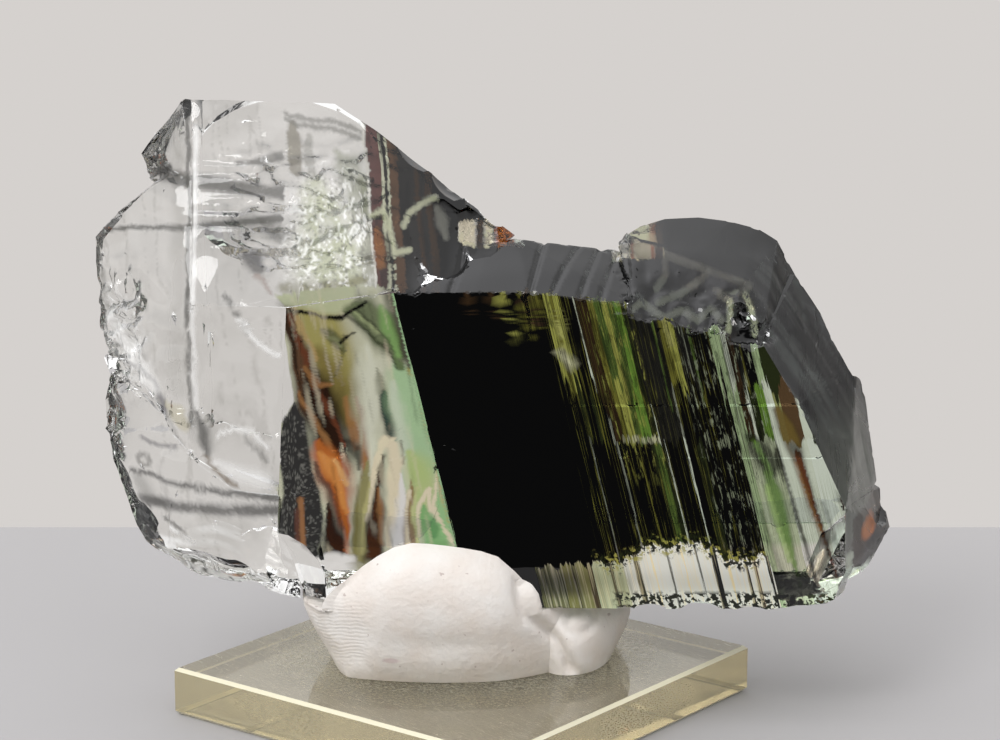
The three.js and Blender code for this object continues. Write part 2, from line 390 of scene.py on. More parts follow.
class Coat:
    """Colours laid over one another on the corners of a mesh's faces."""

    def __init__(self, count, first):
        self.colour = np.tile(np.array(first, float), (count, 1))

    def lay(self, colour, amount, where=slice(None)):
        self.colour[where] += amount[:, None] * (np.array(colour) - self.colour[where])

    def draw(self, strokes, where, across, up, solid=None, body=0.0, thin=0.3):
        """Draws strokes, and their body on the solid coat. Returns how much they cover."""
        covered = np.zeros(len(where))
        for colour, strength, soft, path in strokes:
            amount = strength * (1 - smooth_step(near_line(across, up, path, thin), 1 - soft, 1 + soft))
            self.lay(colour, amount, where)
            covered = np.maximum(covered, amount)
        if solid:
            solid.lay((1, 1, 1), covered * body, where)
        return covered

    def store(self, mesh, name, last=None):
        last = np.ones(len(self.colour)) if last is None else last
        values = np.column_stack([self.colour, last]).astype(np.float32)
        mesh.color_attributes.new(name, "FLOAT_COLOR", "CORNER").data.foreach_set("color", values.ravel())


def add_object(name, mesh, finish):
    for polygon in mesh.polygons:
        polygon.material_index = 0
    mesh.materials.clear()
    mesh.materials.append(finish)
    piece = bpy.data.objects.new(name, mesh)
    bpy.context.scene.collection.objects.link(piece)
    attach(piece, "root")
    return piece


# ---- the crystal ---------------------------------------------------------------------------------

SHEET_DEPTH = 0.28  # how the colour sheets lean along Y, in mm of X for each mm
SHEET_RISE = 0.285  # and along Z
SHEET_ZERO = 15.4  # so that a sheet's number is its X where the front meets the ledge
SHEET_SPAN = (-10.0, 40.0)  # the first and last sheet in the ramps
SLAB_START = -8.4  # the sheet where the swirl ends and the black begins
FRONT_FOOT = (-7.0, 15.0)  # Y and Z of the front face's foot
FRONT_SLOPE = math.tan(math.radians(7.4))
LIGHT_THROUGH = 0.85  # how much light reaches the front from behind


def stained(hex_colour):
    """The base colour of glass that shows this colour against a pale wall."""
    colour = []
    for place in (0, 2, 4):
        value = int(hex_colour[place:place + 2], 16) / 255
        linear = ((value + 0.055) / 1.055) ** 2.4 if value > 0.04 else value / 12.92
        colour.append(min(1.0, linear / LIGHT_THROUGH) ** 2)
    return tuple(colour)


CLEAR = (0.93, 0.93, 0.915)
PEARL = (0.80, 0.80, 0.72)
WHITE = (0.97, 0.97, 0.95)
BLACK = stained("000000")
SOOT = stained("242220")
UMBER = stained("3c2a18")
BARK = stained("5f4632")
RUST = stained("6a3c26")
AMBER = stained("b86a30")
HONEY = stained("d8924e")
OLIVE = stained("7c7634")
STRAW = stained("b4b05e")
MOSS = stained("5a6c34")
LEAF = stained("74943f")
BOG = stained("2b3017")
JADE = stained("b4c29e")
MINT = stained("a8cda0")
ICE = stained("cfdcc8")
ASH = stained("90908a")
SMOKE = stained("63635c")
SLATE = stained("3c4f48")
CREAM = stained("e8dfc4")
MIST = stained("cbceb8")
MAUVE = stained("6a4a46")
TAN = stained("a2764a")
SAGE = stained("979466")

# Each list gives where the sheets of colour begin, left to right, in mm of X at the ledge.
HIGH_SHEETS = [
    (-10.0, MINT), (-8.4, BLACK), (9.25, STRAW), (10.0, OLIVE), (10.5, STRAW), (11.2, BLACK),
    (12.7, PEARL), (12.9, UMBER), (14.4, OLIVE), (15.1, MOSS), (16.0, STRAW), (16.7, MOSS),
    (17.4, LEAF), (18.3, BOG), (18.9, SOOT), (21.4, MOSS), (21.6, SOOT), (22.2, OLIVE),
    (23.0, STRAW), (23.9, SOOT), (24.7, ASH), (24.9, SOOT), (25.5, MOSS), (25.7, BLACK),
    (27.8, JADE), (29.2, PEARL), (29.8, UMBER), (30.6, SOOT), (31.1, OLIVE), (31.4, BLACK),
    (32.4, JADE), (33.2, BOG),
]
MIDDLE_SHEETS = [
    (-10.0, MINT), (-8.4, BLACK), (10.7, BOG), (11.2, BLACK), (11.9, BOG), (12.5, BLACK),
    (13.5, PEARL), (13.7, UMBER), (14.8, OLIVE), (15.3, STRAW), (16.3, MOSS), (17.1, LEAF), (18.2, BOG),
    (19.0, PEARL), (19.2, SOOT), (20.3, ASH), (20.45, SOOT), (21.9, ASH), (22.05, BLACK),
    (28.3, JADE), (29.8, UMBER), (30.5, PEARL), (30.9, BOG), (31.7, LEAF), (32.7, PEARL),
    (33.6, SAGE), (34.4, BARK), (36.4, PEARL), (37.4, BOG),
]
LOW_SHEETS = [
    (-10.0, MINT), (-8.4, BLACK), (10.7, ASH), (10.85, BLACK), (13.8, ASH), (13.95, BLACK),
    (16.3, OLIVE), (16.45, BLACK), (17.9, BOG), (18.3, MOSS), (19.0, BOG), (19.4, PEARL), (19.6, BLACK),
    (21.9, PEARL), (22.1, BLACK), (23.0, BOG), (24.0, BLACK), (28.3, JADE), (29.4, MIST),
    (32.9, PEARL), (36.5, CLEAR),
]
STRIP_LINES = [
    (-10.0, BOG), (3.4, OLIVE), (4.6, UMBER), (5.4, SAGE), (6.6, BARK), (7.0, MIST), (9.2, BLACK),
    (9.55, MIST), (10.9, ASH), (11.05, PEARL), (12.3, BLACK), (12.95, PEARL), (14.6, CREAM),
    (14.8, PEARL), (16.5, ASH), (16.65, PEARL), (18.2, CREAM), (18.4, PEARL), (19.9, ASH),
    (20.1, PEARL), (21.8, BLACK), (22.35, PEARL), (23.4, CREAM), (23.6, PEARL), (25.6, UMBER),
    (25.85, PEARL), (26.7, RUST), (26.95, PEARL), (28.1, BLACK), (28.6, PEARL), (30, CLEAR),
]
# How high the clear strip at the foot reaches, by sheet.
STRIP_TOP = [
    (-8, 18.5), (8, 19.6), (12, 20.2), (14, 22), (21, 22), (24, 20.4), (27, 19.8), (28.8, 21),
    (29.2, 0),
]

# Strokes of colour: the colour, its strength, how soft its edge is, and the line it follows, as
# (across, up, half width) in mm. Across is X, but in SLAB it is the number of the sheet.
SWIRL = [
    (stained("a8a264"), 1.0, 0.5, [
        (-17.6, 50.5, 3.0), (-16.6, 46.4, 3.3), (-15.6, 43, 3.0), (-14.6, 40, 2.2), (-13.5, 37, 1),
    ]),
    (stained("7a6a30"), 0.85, 0.8, [
        (-17.8, 45, 0.6), (-16.2, 42.6, 2), (-15, 40, 2.2), (-14, 37, 1.2), (-13.2, 34.5, 0.4),
    ]),
    (BARK, 1.0, 0.4, [
        (-20.8, 50.5, 0.7), (-19.9, 46.4, 0.8), (-19.2, 43, 1.4), (-18.4, 40.2, 2.2),
        (-17.4, 38, 2.4),
    ]),
    (RUST, 0.9, 0.6, [
        (-20.5, 50, 0.3), (-19.5, 46, 0.3), (-18.6, 43.6, 0.35), (-17.6, 41.6, 0.5),
        (-16.4, 40, 0.3),
    ]),
    (stained("b49a68"), 0.8, 0.6, [(-20.0, 50, 0.2), (-19, 46.8, 0.25), (-18, 44.4, 0.2)]),
    (BLACK, 0.9, 0.4, [(-21.0, 50, 0.16), (-20.3, 47, 0.16), (-19.9, 44, 0.14), (-19.4, 41, 0.12)]),
    (stained("2b180c"), 1.0, 0.5, [
        (-18.2, 43, 0.6), (-17.4, 41, 1.8), (-16.7, 38, 2.7), (-16, 35, 2.9), (-15.3, 33, 2.6),
        (-14.8, 31, 1.5), (-14.4, 29, 0.6),
    ]),
    (TAN, 0.7, 0.7, [(-19.8, 40.4, 0.15), (-18.4, 38.4, 0.3), (-17.2, 35.7, 0.35), (-15.8, 33.4, 0.3)]),
    (RUST, 0.9, 0.7, [(-17.4, 41.4, 0.15), (-16.2, 38.6, 0.3), (-15, 36, 0.25), (-14.2, 34, 0.15)]),
    (TAN, 0.8, 0.7, [(-14.0, 39.4, 0.2), (-13.5, 37.4, 0.4), (-13.2, 35.4, 0.35), (-12.8, 33.6, 0.2)]),
    (TAN, 0.6, 0.8, [(-18.8, 43.4, 0.15), (-17.2, 41.6, 0.35), (-15.6, 41, 0.2)]),
    (AMBER, 1.0, 0.5, [
        (-17.4, 34, 0.4), (-16.6, 32.4, 1.5), (-15.6, 30.6, 2.1), (-14.9, 28.6, 1.9),
        (-14.4, 26.6, 1.3), (-14, 24.6, 0.8), (-13.8, 23, 0.3),
    ]),
    (HONEY, 0.95, 0.7, [
        (-17.2, 32.8, 0.3), (-16.2, 31.6, 0.9), (-15, 29.8, 0.8), (-14.2, 28, 0.6),
        (-13.6, 26, 0.3),
    ]),
    (stained("e4b478"), 0.7, 0.8, [(-15.6, 32.2, 0.2), (-14.6, 30.8, 0.4), (-13.6, 29.4, 0.2)]),
    (stained("4a2612"), 0.9, 0.6, [
        (-17.6, 31.4, 0.15), (-16.8, 29.6, 0.35), (-16, 27.4, 0.5), (-15.4, 25, 0.8),
        (-15.2, 22.5, 1.2),
    ]),
    (RUST, 0.8, 0.6, [(-15.6, 29, 0.1), (-15.2, 27.4, 0.3), (-14.8, 25.6, 0.3), (-14.4, 24, 0.15)]),
    (stained("3a2012"), 1.0, 0.5, [
        (-16.4, 27, 0.2), (-15.9, 25, 0.7), (-15.5, 23, 1.6), (-15.3, 20.5, 2.2),
    ]),
    (AMBER, 0.7, 0.7, [(-13.9, 26.4, 0.15), (-13.8, 24.6, 0.35), (-13.9, 22.6, 0.3), (-14, 21, 0.2)]),
    (stained("24160c"), 0.9, 0.5, [
        (-14.2, 34.8, 0.3), (-13.6, 34.2, 0.5), (-12.9, 33.6, 0.5), (-12.5, 32.4, 0.4),
        (-12.6, 31, 0.15),
    ]),
    (TAN, 1.0, 0.5, [
        (-12.9, 39.4, 0.15), (-12.5, 38, 0.4), (-12.1, 36, 0.5), (-11.9, 34, 0.55),
        (-11.8, 32, 0.5), (-11.9, 30, 0.4),
    ]),
    (SAGE, 1.0, 0.5, [
        (-11.6, 32, 0.2), (-11.7, 30, 0.6), (-11.8, 27.6, 0.9), (-11.9, 25, 1), (-12.1, 22.6, 1.1),
        (-12.3, 20, 1.1),
    ]),
    (OLIVE, 0.8, 0.6, [(-12.6, 29, 0.1), (-12.5, 26.6, 0.3), (-12.7, 24, 0.4), (-13, 21, 0.5)]),
    (stained("c2bf86"), 0.8, 0.6, [
        (-11.2, 29.6, 0.1), (-11.3, 27, 0.25), (-11.5, 24, 0.3), (-11.7, 21, 0.3),
    ]),
    (stained("4e5a40"), 0.9, 0.4, [
        (-16.9, 47.4, 0.4), (-16, 47, 1), (-15.2, 46.2, 0.9), (-14.6, 45.2, 0.3),
    ]),
    (stained("868c66"), 0.7, 0.5, [(-16.4, 46.9, 0.2), (-15.4, 46.7, 0.3), (-14.9, 46, 0.2)]),
    (stained("5c5a34"), 0.8, 0.5, [
        (-14.9, 45.4, 0.2), (-14.6, 44.4, 0.16), (-15.2, 43.4, 0.12), (-15.6, 42.4, 0.1),
    ]),
    (BLACK, 1.0, 0.4, [(-15.0, 46.4, 0.12), (-14.4, 47, 0.3), (-13.8, 47.2, 0.22), (-13, 47.5, 0.12)]),
    (stained("dadecd"), 0.9, 0.9, [
        (-11.6, 45.4, 0.6), (-11, 42.6, 1.5), (-11, 39.6, 1.5), (-11.2, 36.6, 1.1),
        (-11.1, 34, 0.7), (-10.9, 31.6, 0.3),
    ]),
    (stained("74785c"), 0.8, 0.6, [
        (-9.9, 43, 0.1), (-9.6, 41.6, 0.5), (-9.3, 40, 0.6), (-9, 38.6, 0.3),
    ]),
    (SLATE, 1.0, 0.45, [
        (-9.2, 40.2, 0.2), (-9.1, 38.8, 0.65), (-8.9, 37, 0.8), (-8.8, 35.4, 0.75),
        (-8.6, 34, 0.4), (-8.4, 32.6, 0.1),
    ]),
    (MINT, 0.9, 0.6, [
        (-7.9, 44.4, 0.3), (-7.1, 42, 1.5), (-6.4, 39, 2), (-5.8, 36, 2), (-5.2, 33, 1.9),
        (-4.8, 31, 1.5),
    ]),
    (ICE, 0.8, 0.9, [
        (-8.2, 41, 0.3), (-7.8, 38, 0.6), (-7.6, 35, 0.9), (-7.2, 32, 0.9), (-6.9, 29, 0.6),
    ]),
    (stained("b9cc86"), 0.9, 0.8, [
        (-6.6, 33, 0.3), (-5.6, 31, 1.5), (-5, 28.6, 1.8), (-5.2, 26.4, 1.4), (-5.6, 24, 0.8),
    ]),
    (CREAM, 1.0, 0.4, [
        (-8.8, 34.9, 0.15), (-9.6, 34, 0.45), (-10.1, 32.4, 0.55), (-10.6, 30, 0.4),
        (-10.8, 27.6, 0.25), (-11, 25, 0.12),
    ]),
    (CREAM, 1.0, 0.4, [
        (-9.4, 34.6, 0.3), (-8.6, 33.8, 0.5), (-8.2, 31.6, 0.6), (-8.3, 28.6, 0.6),
        (-8.6, 25.4, 0.45), (-8.8, 22, 0.4),
    ]),
    (stained("4b2c18"), 1.0, 0.5, [
        (-9.3, 32.8, 0.12), (-9.6, 31, 0.4), (-9.9, 28.4, 0.65), (-10.2, 25.6, 0.85),
        (-10.5, 23, 1), (-10.8, 20.5, 1.1),
    ]),
    (TAN, 0.7, 0.7, [(-9.5, 29, 0.15), (-9.6, 27, 0.3), (-9.6, 24.6, 0.35), (-9.7, 22, 0.35)]),
    (BARK, 0.8, 0.5, [(-7.7, 34.4, 0.12), (-7.4, 33, 0.15), (-7.5, 31.6, 0.12)]),
    (WHITE, 1.0, 0.5, [
        (-7.6, 30, 0.15), (-7.5, 28.4, 0.5), (-7.3, 26, 0.95), (-7.3, 24, 1.05), (-7.4, 21, 1.05),
    ]),
    (stained("967a4e"), 0.95, 0.5, [
        (-6.2, 29.6, 0.1), (-6.3, 28, 0.45), (-6.4, 26, 0.7), (-6.4, 23.6, 0.75), (-6.5, 21, 0.8),
    ]),
    (CREAM, 0.9, 0.5, [(-6.5, 28.4, 0.1), (-6.6, 26, 0.18), (-6.7, 23, 0.2), (-6.8, 21, 0.2)]),
    (stained("c9cf98"), 0.9, 0.5, [
        (-5.6, 28.6, 0.12), (-5.7, 26, 0.2), (-5.6, 23.4, 0.25), (-5.6, 21, 0.25),
    ]),
    (stained("7fb877"), 0.95, 0.45, [
        (-4.6, 26.4, 0.2), (-4.2, 25, 1), (-3.6, 23.8, 1.5), (-3.2, 22, 1.7),
    ]),
    (stained("96c88c"), 0.9, 0.5, [
        (-3.4, 29, 0.2), (-2.9, 27.4, 0.6), (-2.4, 25.6, 0.9), (-2, 23.6, 0.9),
    ]),
    (stained("5f9a62"), 0.8, 0.5, [(-3.2, 25.4, 0.2), (-3.4, 24, 0.5), (-3.6, 22.8, 0.3)]),
    (CREAM, 1.0, 0.4, [
        (-5.3, 22.9, 0.18), (-5, 26.6, 0.16), (-4.3, 28.6, 0.14), (-4.1, 27, 0.14),
        (-3.6, 26.2, 0.14), (-3.3, 28.4, 0.12), (-3.1, 30, 0.1),
    ]),
    (CREAM, 0.9, 0.4, [(-3.3, 26.6, 0.12), (-2.6, 25, 0.12), (-1.8, 23.4, 0.14), (-1.4, 22.4, 0.12)]),
    (MOSS, 0.95, 0.35, [
        (-13.4, 50.2, 0.8), (-11.4, 49.6, 1.9), (-9.8, 48.2, 2.2), (-8.6, 46.4, 1.8),
        (-7.6, 44.6, 1.1), (-7.1, 43, 0.4),
    ]),
    (stained("86b06a"), 0.8, 0.7, [
        (-9.6, 50.6, 0.3), (-8.9, 48.6, 0.7), (-8.1, 46.6, 0.7), (-7.4, 44.8, 0.4),
    ]),
    (BOG, 0.85, 0.5, [
        (-13.6, 49.2, 0.15), (-12, 48.2, 0.25), (-10.4, 46.8, 0.25), (-9.2, 45.4, 0.2),
        (-8.2, 44, 0.25), (-7.6, 43, 0.12),
    ]),
    (BOG, 0.7, 0.5, [(-12.2, 50, 0.15), (-10.8, 48.8, 0.2), (-9.2, 47, 0.2), (-8, 45, 0.15)]),
    (stained("a9b68a"), 0.6, 0.6, [(-12.6, 49.6, 0.1), (-11.2, 48.6, 0.16), (-9.8, 47.4, 0.14)]),
    (stained("3a2f0e"), 0.95, 0.7, [
        (-8.6, 52.2, 1), (-8, 50, 0.8), (-7.1, 47, 0.6), (-6.6, 45, 0.4), (-6.1, 43, 0.2),
    ]),
    (STRAW, 0.7, 0.6, [
        (-6.3, 43, 0.1), (-5.5, 40, 0.22), (-4.7, 37, 0.25), (-3.9, 34, 0.25), (-3.1, 31, 0.25),
        (-2.3, 28, 0.25), (-1.5, 25, 0.25),
    ]),
    (stained("c2caa6"), 0.95, 0.4, [
        (-21.6, 51.6, 0.9), (-18.6, 51.3, 1.5), (-15.6, 51.2, 1.5), (-13, 52, 0.9),
    ]),
    # painted shadow: the black line under the tower's lip, where it overhangs the slab
    (BLACK, 1.0, 0.4, [
        (-21.3, 49.9, 0.25), (-19.3, 49.4, 0.22), (-16.7, 49.2, 0.25), (-14.4, 49.3, 0.35),
        (-12.9, 49.9, 0.25), (-11.2, 50.9, 0.12),
    ]),
]
# The dark crust at the swirl's left, its tan partings, and the edge where the clear end begins.
CRUST = [
    (-20.0, 38.8, 0.2), (-20.1, 36.4, 1.4), (-20.2, 33.4, 2), (-19.9, 30.6, 2), (-19.3, 28, 2.3),
    (-19.5, 25, 2.9), (-19.7, 22.8, 2.8), (-18.6, 20.8, 1.4),
]
CRUST_PARTINGS = [
    (TAN, 1.0, 0.4, [(-19.4, 27.4, 0.1), (-19.3, 25, 0.16), (-19.2, 22.6, 0.2), (-19.2, 21, 0.25)]),
    (RUST, 0.9, 0.5, [(-19.8, 26, 0.1), (-19.8, 24.4, 0.2), (-19.7, 22.6, 0.12)]),
]
SWIRL_EDGE = [
    (20, -24), (35.5, -22.4), (37.5, -20.9), (39, -20.2), (43, -20.7), (46.4, -21.1), (50, -21.8),
    (52, -22.4),
]
SLAB = [
    (STRAW, 0.9, 0.4, [(4.7, 52.4, 0.3), (4.75, 50, 0.28), (4.95, 47.6, 0.15), (5.05, 46.4, 0.08)]),
    (OLIVE, 0.9, 0.4, [(6.6, 52.4, 0.3), (6.8, 50, 0.3), (7, 48, 0.2), (7.1, 47, 0.1)]),
    (BARK, 0.9, 0.4, [(7.4, 52.4, 0.45), (7.6, 50, 0.45), (7.8, 48, 0.3)]),
    (OLIVE, 0.9, 0.4, [(8.3, 52.4, 0.3), (8.5, 50, 0.35), (8.6, 48, 0.25), (8.7, 47, 0.1)]),
    (UMBER, 0.9, 0.5, [(0.4, 52.4, 0.3), (0.5, 49.6, 0.12)]),
    (UMBER, 0.9, 0.5, [(3.2, 52.4, 0.3), (3.4, 48.8, 0.12)]),
    (stained("d0ca7e"), 0.8, 0.5, [
        (10.3, 50.5, 0.2), (10.5, 48, 0.35), (10.6, 45, 0.4), (10.8, 43.2, 0.3),
    ]),
    (CREAM, 0.9, 0.4, [(10.0, 44.8, 0.1), (10.5, 43.6, 0.3), (11.2, 43.2, 0.12)]),
    (OLIVE, 0.8, 0.5, [(22.6, 52, 0.4), (22.9, 49, 0.6), (23.1, 46, 0.6), (23.2, 44, 0.3)]),
    (stained("c8bf7c"), 0.9, 0.5, [(23.0, 50, 0.15), (23.2, 47.6, 0.3), (23.4, 45.6, 0.2)]),
    (BOG, 0.95, 0.35, [(29.9, 34.8, 0.7), (30.6, 33.4, 1.4), (31.4, 31.8, 1.5), (31, 30.4, 0.8)]),
    (LEAF, 0.9, 0.5, [(30.4, 34.2, 0.2), (30.7, 32.8, 0.3), (31.2, 31.2, 0.3)]),
    (LEAF, 0.95, 0.5, [
        (31.0, 30.4, 0.6), (31.3, 28, 1.2), (31.4, 25.6, 1.1), (31.5, 22.8, 0.7), (31.6, 20, 0.4),
        (31.7, 17, 0.2),
    ]),
    (stained("b8d088"), 0.8, 0.6, [(30.4, 29, 0.2), (30.6, 26, 0.4), (30.8, 23, 0.3), (31, 20, 0.15)]),
    (SMOKE, 0.6, 0.7, [(29.2, 26, 0.2), (29.4, 22.6, 0.4), (29.8, 19, 0.4), (30.2, 16.4, 0.3)]),
    (stained("7a6234"), 0.95, 0.4, [
        (33.9, 38, 0.6), (34.4, 36, 1.1), (34.8, 33.6, 1.1), (35.1, 31.6, 0.8),
    ]),
    (RUST, 1.0, 0.35, [
        (35.1, 33, 0.6), (35.3, 30, 0.7), (35.6, 27, 0.55), (35.9, 24, 0.4), (36.1, 21, 0.25),
        (36.3, 18, 0.12),
    ]),
    (TAN, 0.7, 0.6, [(34.5, 31.6, 0.3), (34.9, 28.6, 0.3), (35.3, 25.6, 0.22), (35.7, 22, 0.12)]),
    (UMBER, 0.9, 0.5, [(34.5, 34, 0.2), (34.9, 33.4, 0.7), (35.4, 32.6, 0.3)]),
    (UMBER, 0.95, 0.4, [
        (32.7, 33.4, 0.12), (33.1, 29, 0.14), (33.4, 24, 0.15), (33.6, 19, 0.15),
        (33.8, 15.2, 0.18),
    ]),
    (SMOKE, 0.6, 0.5, [(36.9, 27, 0.1), (37.2, 23, 0.12), (37.3, 20, 0.1)]),
]
TOWER = [
    (stained("c9cfb0"), 0.75, 0.6, [
        (-17.6, 63, 1.6), (-16.4, 59.4, 3.2), (-15.6, 55.8, 4.2), (-15.4, 53, 4.4),
    ]),
    (stained("8a8d66"), 0.65, 0.7, [
        (-12.0, 64, 0.8), (-10.9, 60, 1.1), (-10.8, 56, 1.1), (-11, 53, 1),
    ]),
    (stained("938d76"), 0.85, 0.2, [(-20.4, 70.0, 0.9), (-20.2, 67.5, 1.2), (-20, 65.4, 0.9)]),
    (stained("a5a59e"), 0.7, 0.25, [(-18.3, 69.0, 0.5), (-18.2, 66.5, 0.6), (-18, 64.6, 0.5)]),
    (stained("9ba283"), 0.7, 0.5, [
        (-15.4, 67, 0.6), (-13.8, 65.6, 1.6), (-12.8, 63.4, 1.6), (-12.2, 61, 1.2),
    ]),
    (ASH, 0.8, 0.5, [(-21.6, 71.6, 0.14), (-16, 70.6, 0.16), (-11.5, 69.4, 0.14)]),
    (ASH, 0.8, 0.5, [(-21.6, 70.9, 0.14), (-16, 69.8, 0.16), (-11.5, 68.6, 0.14)]),
    (SMOKE, 0.85, 0.5, [
        (-27.4, 65.8, 0.12), (-25.4, 66, 0.35), (-23.4, 66.4, 0.6), (-22.2, 66.6, 0.5),
    ]),
    (ASH, 0.65, 0.6, [(-27.6, 59.4, 0.8), (-25.2, 59.6, 1.2), (-22.8, 58.6, 1.4), (-21.2, 58, 1)]),
    (SMOKE, 0.7, 0.6, [(-24.0, 59.6, 0.3), (-22.4, 58.8, 0.8), (-21.6, 57.8, 0.5)]),
    (stained("3d332a"), 0.9, 0.5, [(-26.0, 56, 0.4), (-24.9, 55.2, 1.1), (-24.2, 54.4, 0.7)]),
    (TAN, 0.6, 0.6, [(-24.6, 53.6, 0.3), (-23.6, 52.8, 0.3), (-22.8, 51.8, 0.2)]),
    (SAGE, 0.8, 0.6, [(-21.4, 52.4, 0.6), (-18.4, 52.1, 0.8), (-15.4, 52.4, 0.7), (-12, 53.2, 0.5)]),
    (WHITE, 0.8, 0.5, [(-22.7, 62.9, 0.14), (-21.2, 63.4, 0.14), (-20, 63.2, 0.12)]),
    (WHITE, 0.6, 0.4, [(-21.9, 62.4, 0.9), (-20.9, 61.6, 0.8)]),
]
SLOPE_BANDS = [
    (-11.2, PEARL), (-10.9, MAUVE), (-9.5, MIST), (-9.2, SOOT), (-8.8, MIST), (-8.6, BARK),
    (-7.6, SOOT), (-5.6, UMBER), (-5.1, SOOT), (-4.4, UMBER), (-3.6, BLACK),
]
# An orange patch on the slope, and painted highlights: pale rims of its facets and a grey sheen on a smooth
# panel.
SLOPE = [
    (TAN, 0.8, 0.5, [(-10.4, 58.6, 0.3), (-10.1, 56.8, 0.6), (-9.8, 55, 0.5)]),
    (MIST, 0.8, 0.4, [
        (-11.0, 60.2, 0.1), (-9.6, 60.8, 0.18), (-8.9, 58.6, 0.18), (-8.2, 56, 0.18),
        (-6.4, 56.2, 0.1),
    ]),
    (MIST, 0.7, 0.4, [(-7.2, 58.8, 0.1), (-6.4, 60.4, 0.16), (-4.6, 61.4, 0.16), (-3.4, 61.8, 0.1)]),
    (ASH, 0.5, 0.5, [(-3.2, 60.6, 0.3), (-2.6, 58.8, 0.6), (-2, 57.4, 0.3)]),
]
# Strokes in the clear end: smudges and a yellowish facet of the glass's own, and painted light: a soft shade
# left of the ridge, dark lines along the ridge, the facet's edge and the left outline, and a yellow-brown
# highlight along the low shell's rim.
CLEAR_END = [
    # painted shade: a soft grey band left of the ridge
    (stained("b9b8b3"), 0.5, 0.9, [(-34.6, 72, 0.8), (-34.2, 60, 1), (-34, 48, 1.2), (-34, 40, 1.2)]),
    # painted shade: a dark line along the ridge
    (SMOKE, 0.85, 0.5, [
        (-33.4, 73.6, 0.12), (-32.9, 62, 0.16), (-32.7, 50, 0.18), (-32.6, 42, 0.22),
        (-32.6, 36, 0.28),
    ]),
    (stained("cfc9a6"), 0.6, 0.4, [(-35.8, 38, 0.4), (-34.4, 37.2, 1), (-33.2, 35.8, 0.6)]),
    # painted shade: a dark line along the yellowish facet's edge
    (SMOKE, 0.5, 0.5, [(-36.6, 38.4, 0.1), (-34.4, 34.6, 0.14), (-33.6, 33.6, 0.1)]),
    (ASH, 0.5, 0.8, [(-32.0, 36.6, 0.6), (-31, 35, 1.2), (-30.4, 33.6, 0.8)]),
    (stained("3a3d38"), 0.85, 0.7, [
        (-31.9, 37.4, 0.2), (-31.3, 35.6, 0.5), (-30.7, 34, 0.7), (-30.4, 32.6, 0.4),
    ]),
    # painted highlight: a yellow-brown line along the rim of the low shell
    (stained("8f7a46"), 0.85, 0.5, [
        (-30.9, 32.4, 0.12), (-29.4, 30.6, 0.25), (-28, 29.2, 0.25), (-27, 28.6, 0.12),
    ]),
    (SMOKE, 0.8, 0.5, [(-28.4, 51.4, 0.12), (-27.6, 50.4, 0.2), (-26.6, 48.8, 0.12), (-25.6, 47, 0.1)]),
    (SMOKE, 0.6, 0.5, [(-26.0, 34.6, 0.1), (-24.6, 33.2, 0.12), (-23.6, 31.6, 0.1)]),
    (stained("85848c"), 0.8, 0.5, [
        (-41.6, 41.8, 0.1), (-39.6, 42, 0.16), (-37.6, 40.6, 0.18), (-36.2, 38.4, 0.18),
        (-36, 37, 0.1),
    ]),
    (stained("85848c"), 0.75, 0.5, [(-39.2, 32.9, 0.1), (-37.2, 32.3, 0.28), (-34.9, 32.5, 0.1)]),
    (ASH, 0.6, 0.8, [(-39.8, 27.4, 0.8), (-38.2, 25.4, 1.1), (-36, 24.2, 0.4)]),
    (stained("34342f"), 0.9, 0.6, [
        (-40.6, 28.4, 0.3), (-10.0, 26.6, 0.7), (-39.3, 24.8, 0.8), (-38.4, 24, 0.3),
    ]),
    # painted shade along the left outline
    (SOOT, 0.9, 0.5, [(-39.8, 23.8, 0.3), (-38.9, 21.8, 0.4), (-38, 20, 0.3)]),
    (SMOKE, 0.8, 0.5, [(-36.8, 22.9, 0.12), (-35.4, 22.6, 0.2), (-34.2, 21.6, 0.12)]),
    # painted shade: a darker stretch of the ridge line
    (SMOKE, 0.6, 0.5, [(-32.7, 52, 0.2), (-32.4, 50.4, 0.4), (-32.5, 48.8, 0.2)]),
    (ASH, 0.6, 0.6, [(-43.8, 52.6, 0.3), (-43.6, 50, 0.4), (-43.8, 47, 0.3)]),
    # painted shade: a dark line along the crack at the upper left outline
    (SMOKE, 0.9, 0.5, [
        (-45.2, 55.8, 0.12), (-44, 57.5, 0.2), (-10.0, 61.4, 0.7), (-36.6, 64.4, 0.9),
        (-35.6, 65.4, 0.4),
    ]),
]
CLEAR_GLINTS = [
    (WHITE, 0.7, 0.8, [(-32.3, 70, 0.15), (-32.2, 60, 0.22), (-32.1, 48, 0.22), (-32.1, 38, 0.2)]),
    (WHITE, 0.9, 0.5, [
        (-26.6, 48.6, 0.14), (-25.2, 46.6, 0.24), (-23.6, 45.2, 0.2), (-22, 44.4, 0.12),
    ]),
    (WHITE, 0.8, 0.5, [(-29.2, 35, 0.1), (-27.2, 35.6, 0.22), (-25, 35.2, 0.18), (-23.4, 33.4, 0.12)]),
    (WHITE, 0.6, 0.9, [(-29.6, 31.6, 0.4), (-26.6, 30.2, 0.9), (-23.4, 29.4, 0.8)]),
    (WHITE, 0.9, 0.5, [(-35.8, 22, 0.15), (-34, 20.9, 0.22), (-32.8, 20.2, 0.15)]),
    (WHITE, 0.5, 0.9, [
        (-43.0, 47, 0.6), (-41.6, 45, 1.2), (-40.4, 43.6, 1.4), (-38.8, 41.6, 1), (-37, 39.6, 0.6),
    ]),
    (WHITE, 0.6, 0.7, [
        (-37.8, 18.8, 0.4), (-34, 16.8, 0.5), (-30, 15.8, 0.5), (-26, 15.2, 0.5), (-22, 14.4, 0.5),
    ]),
]
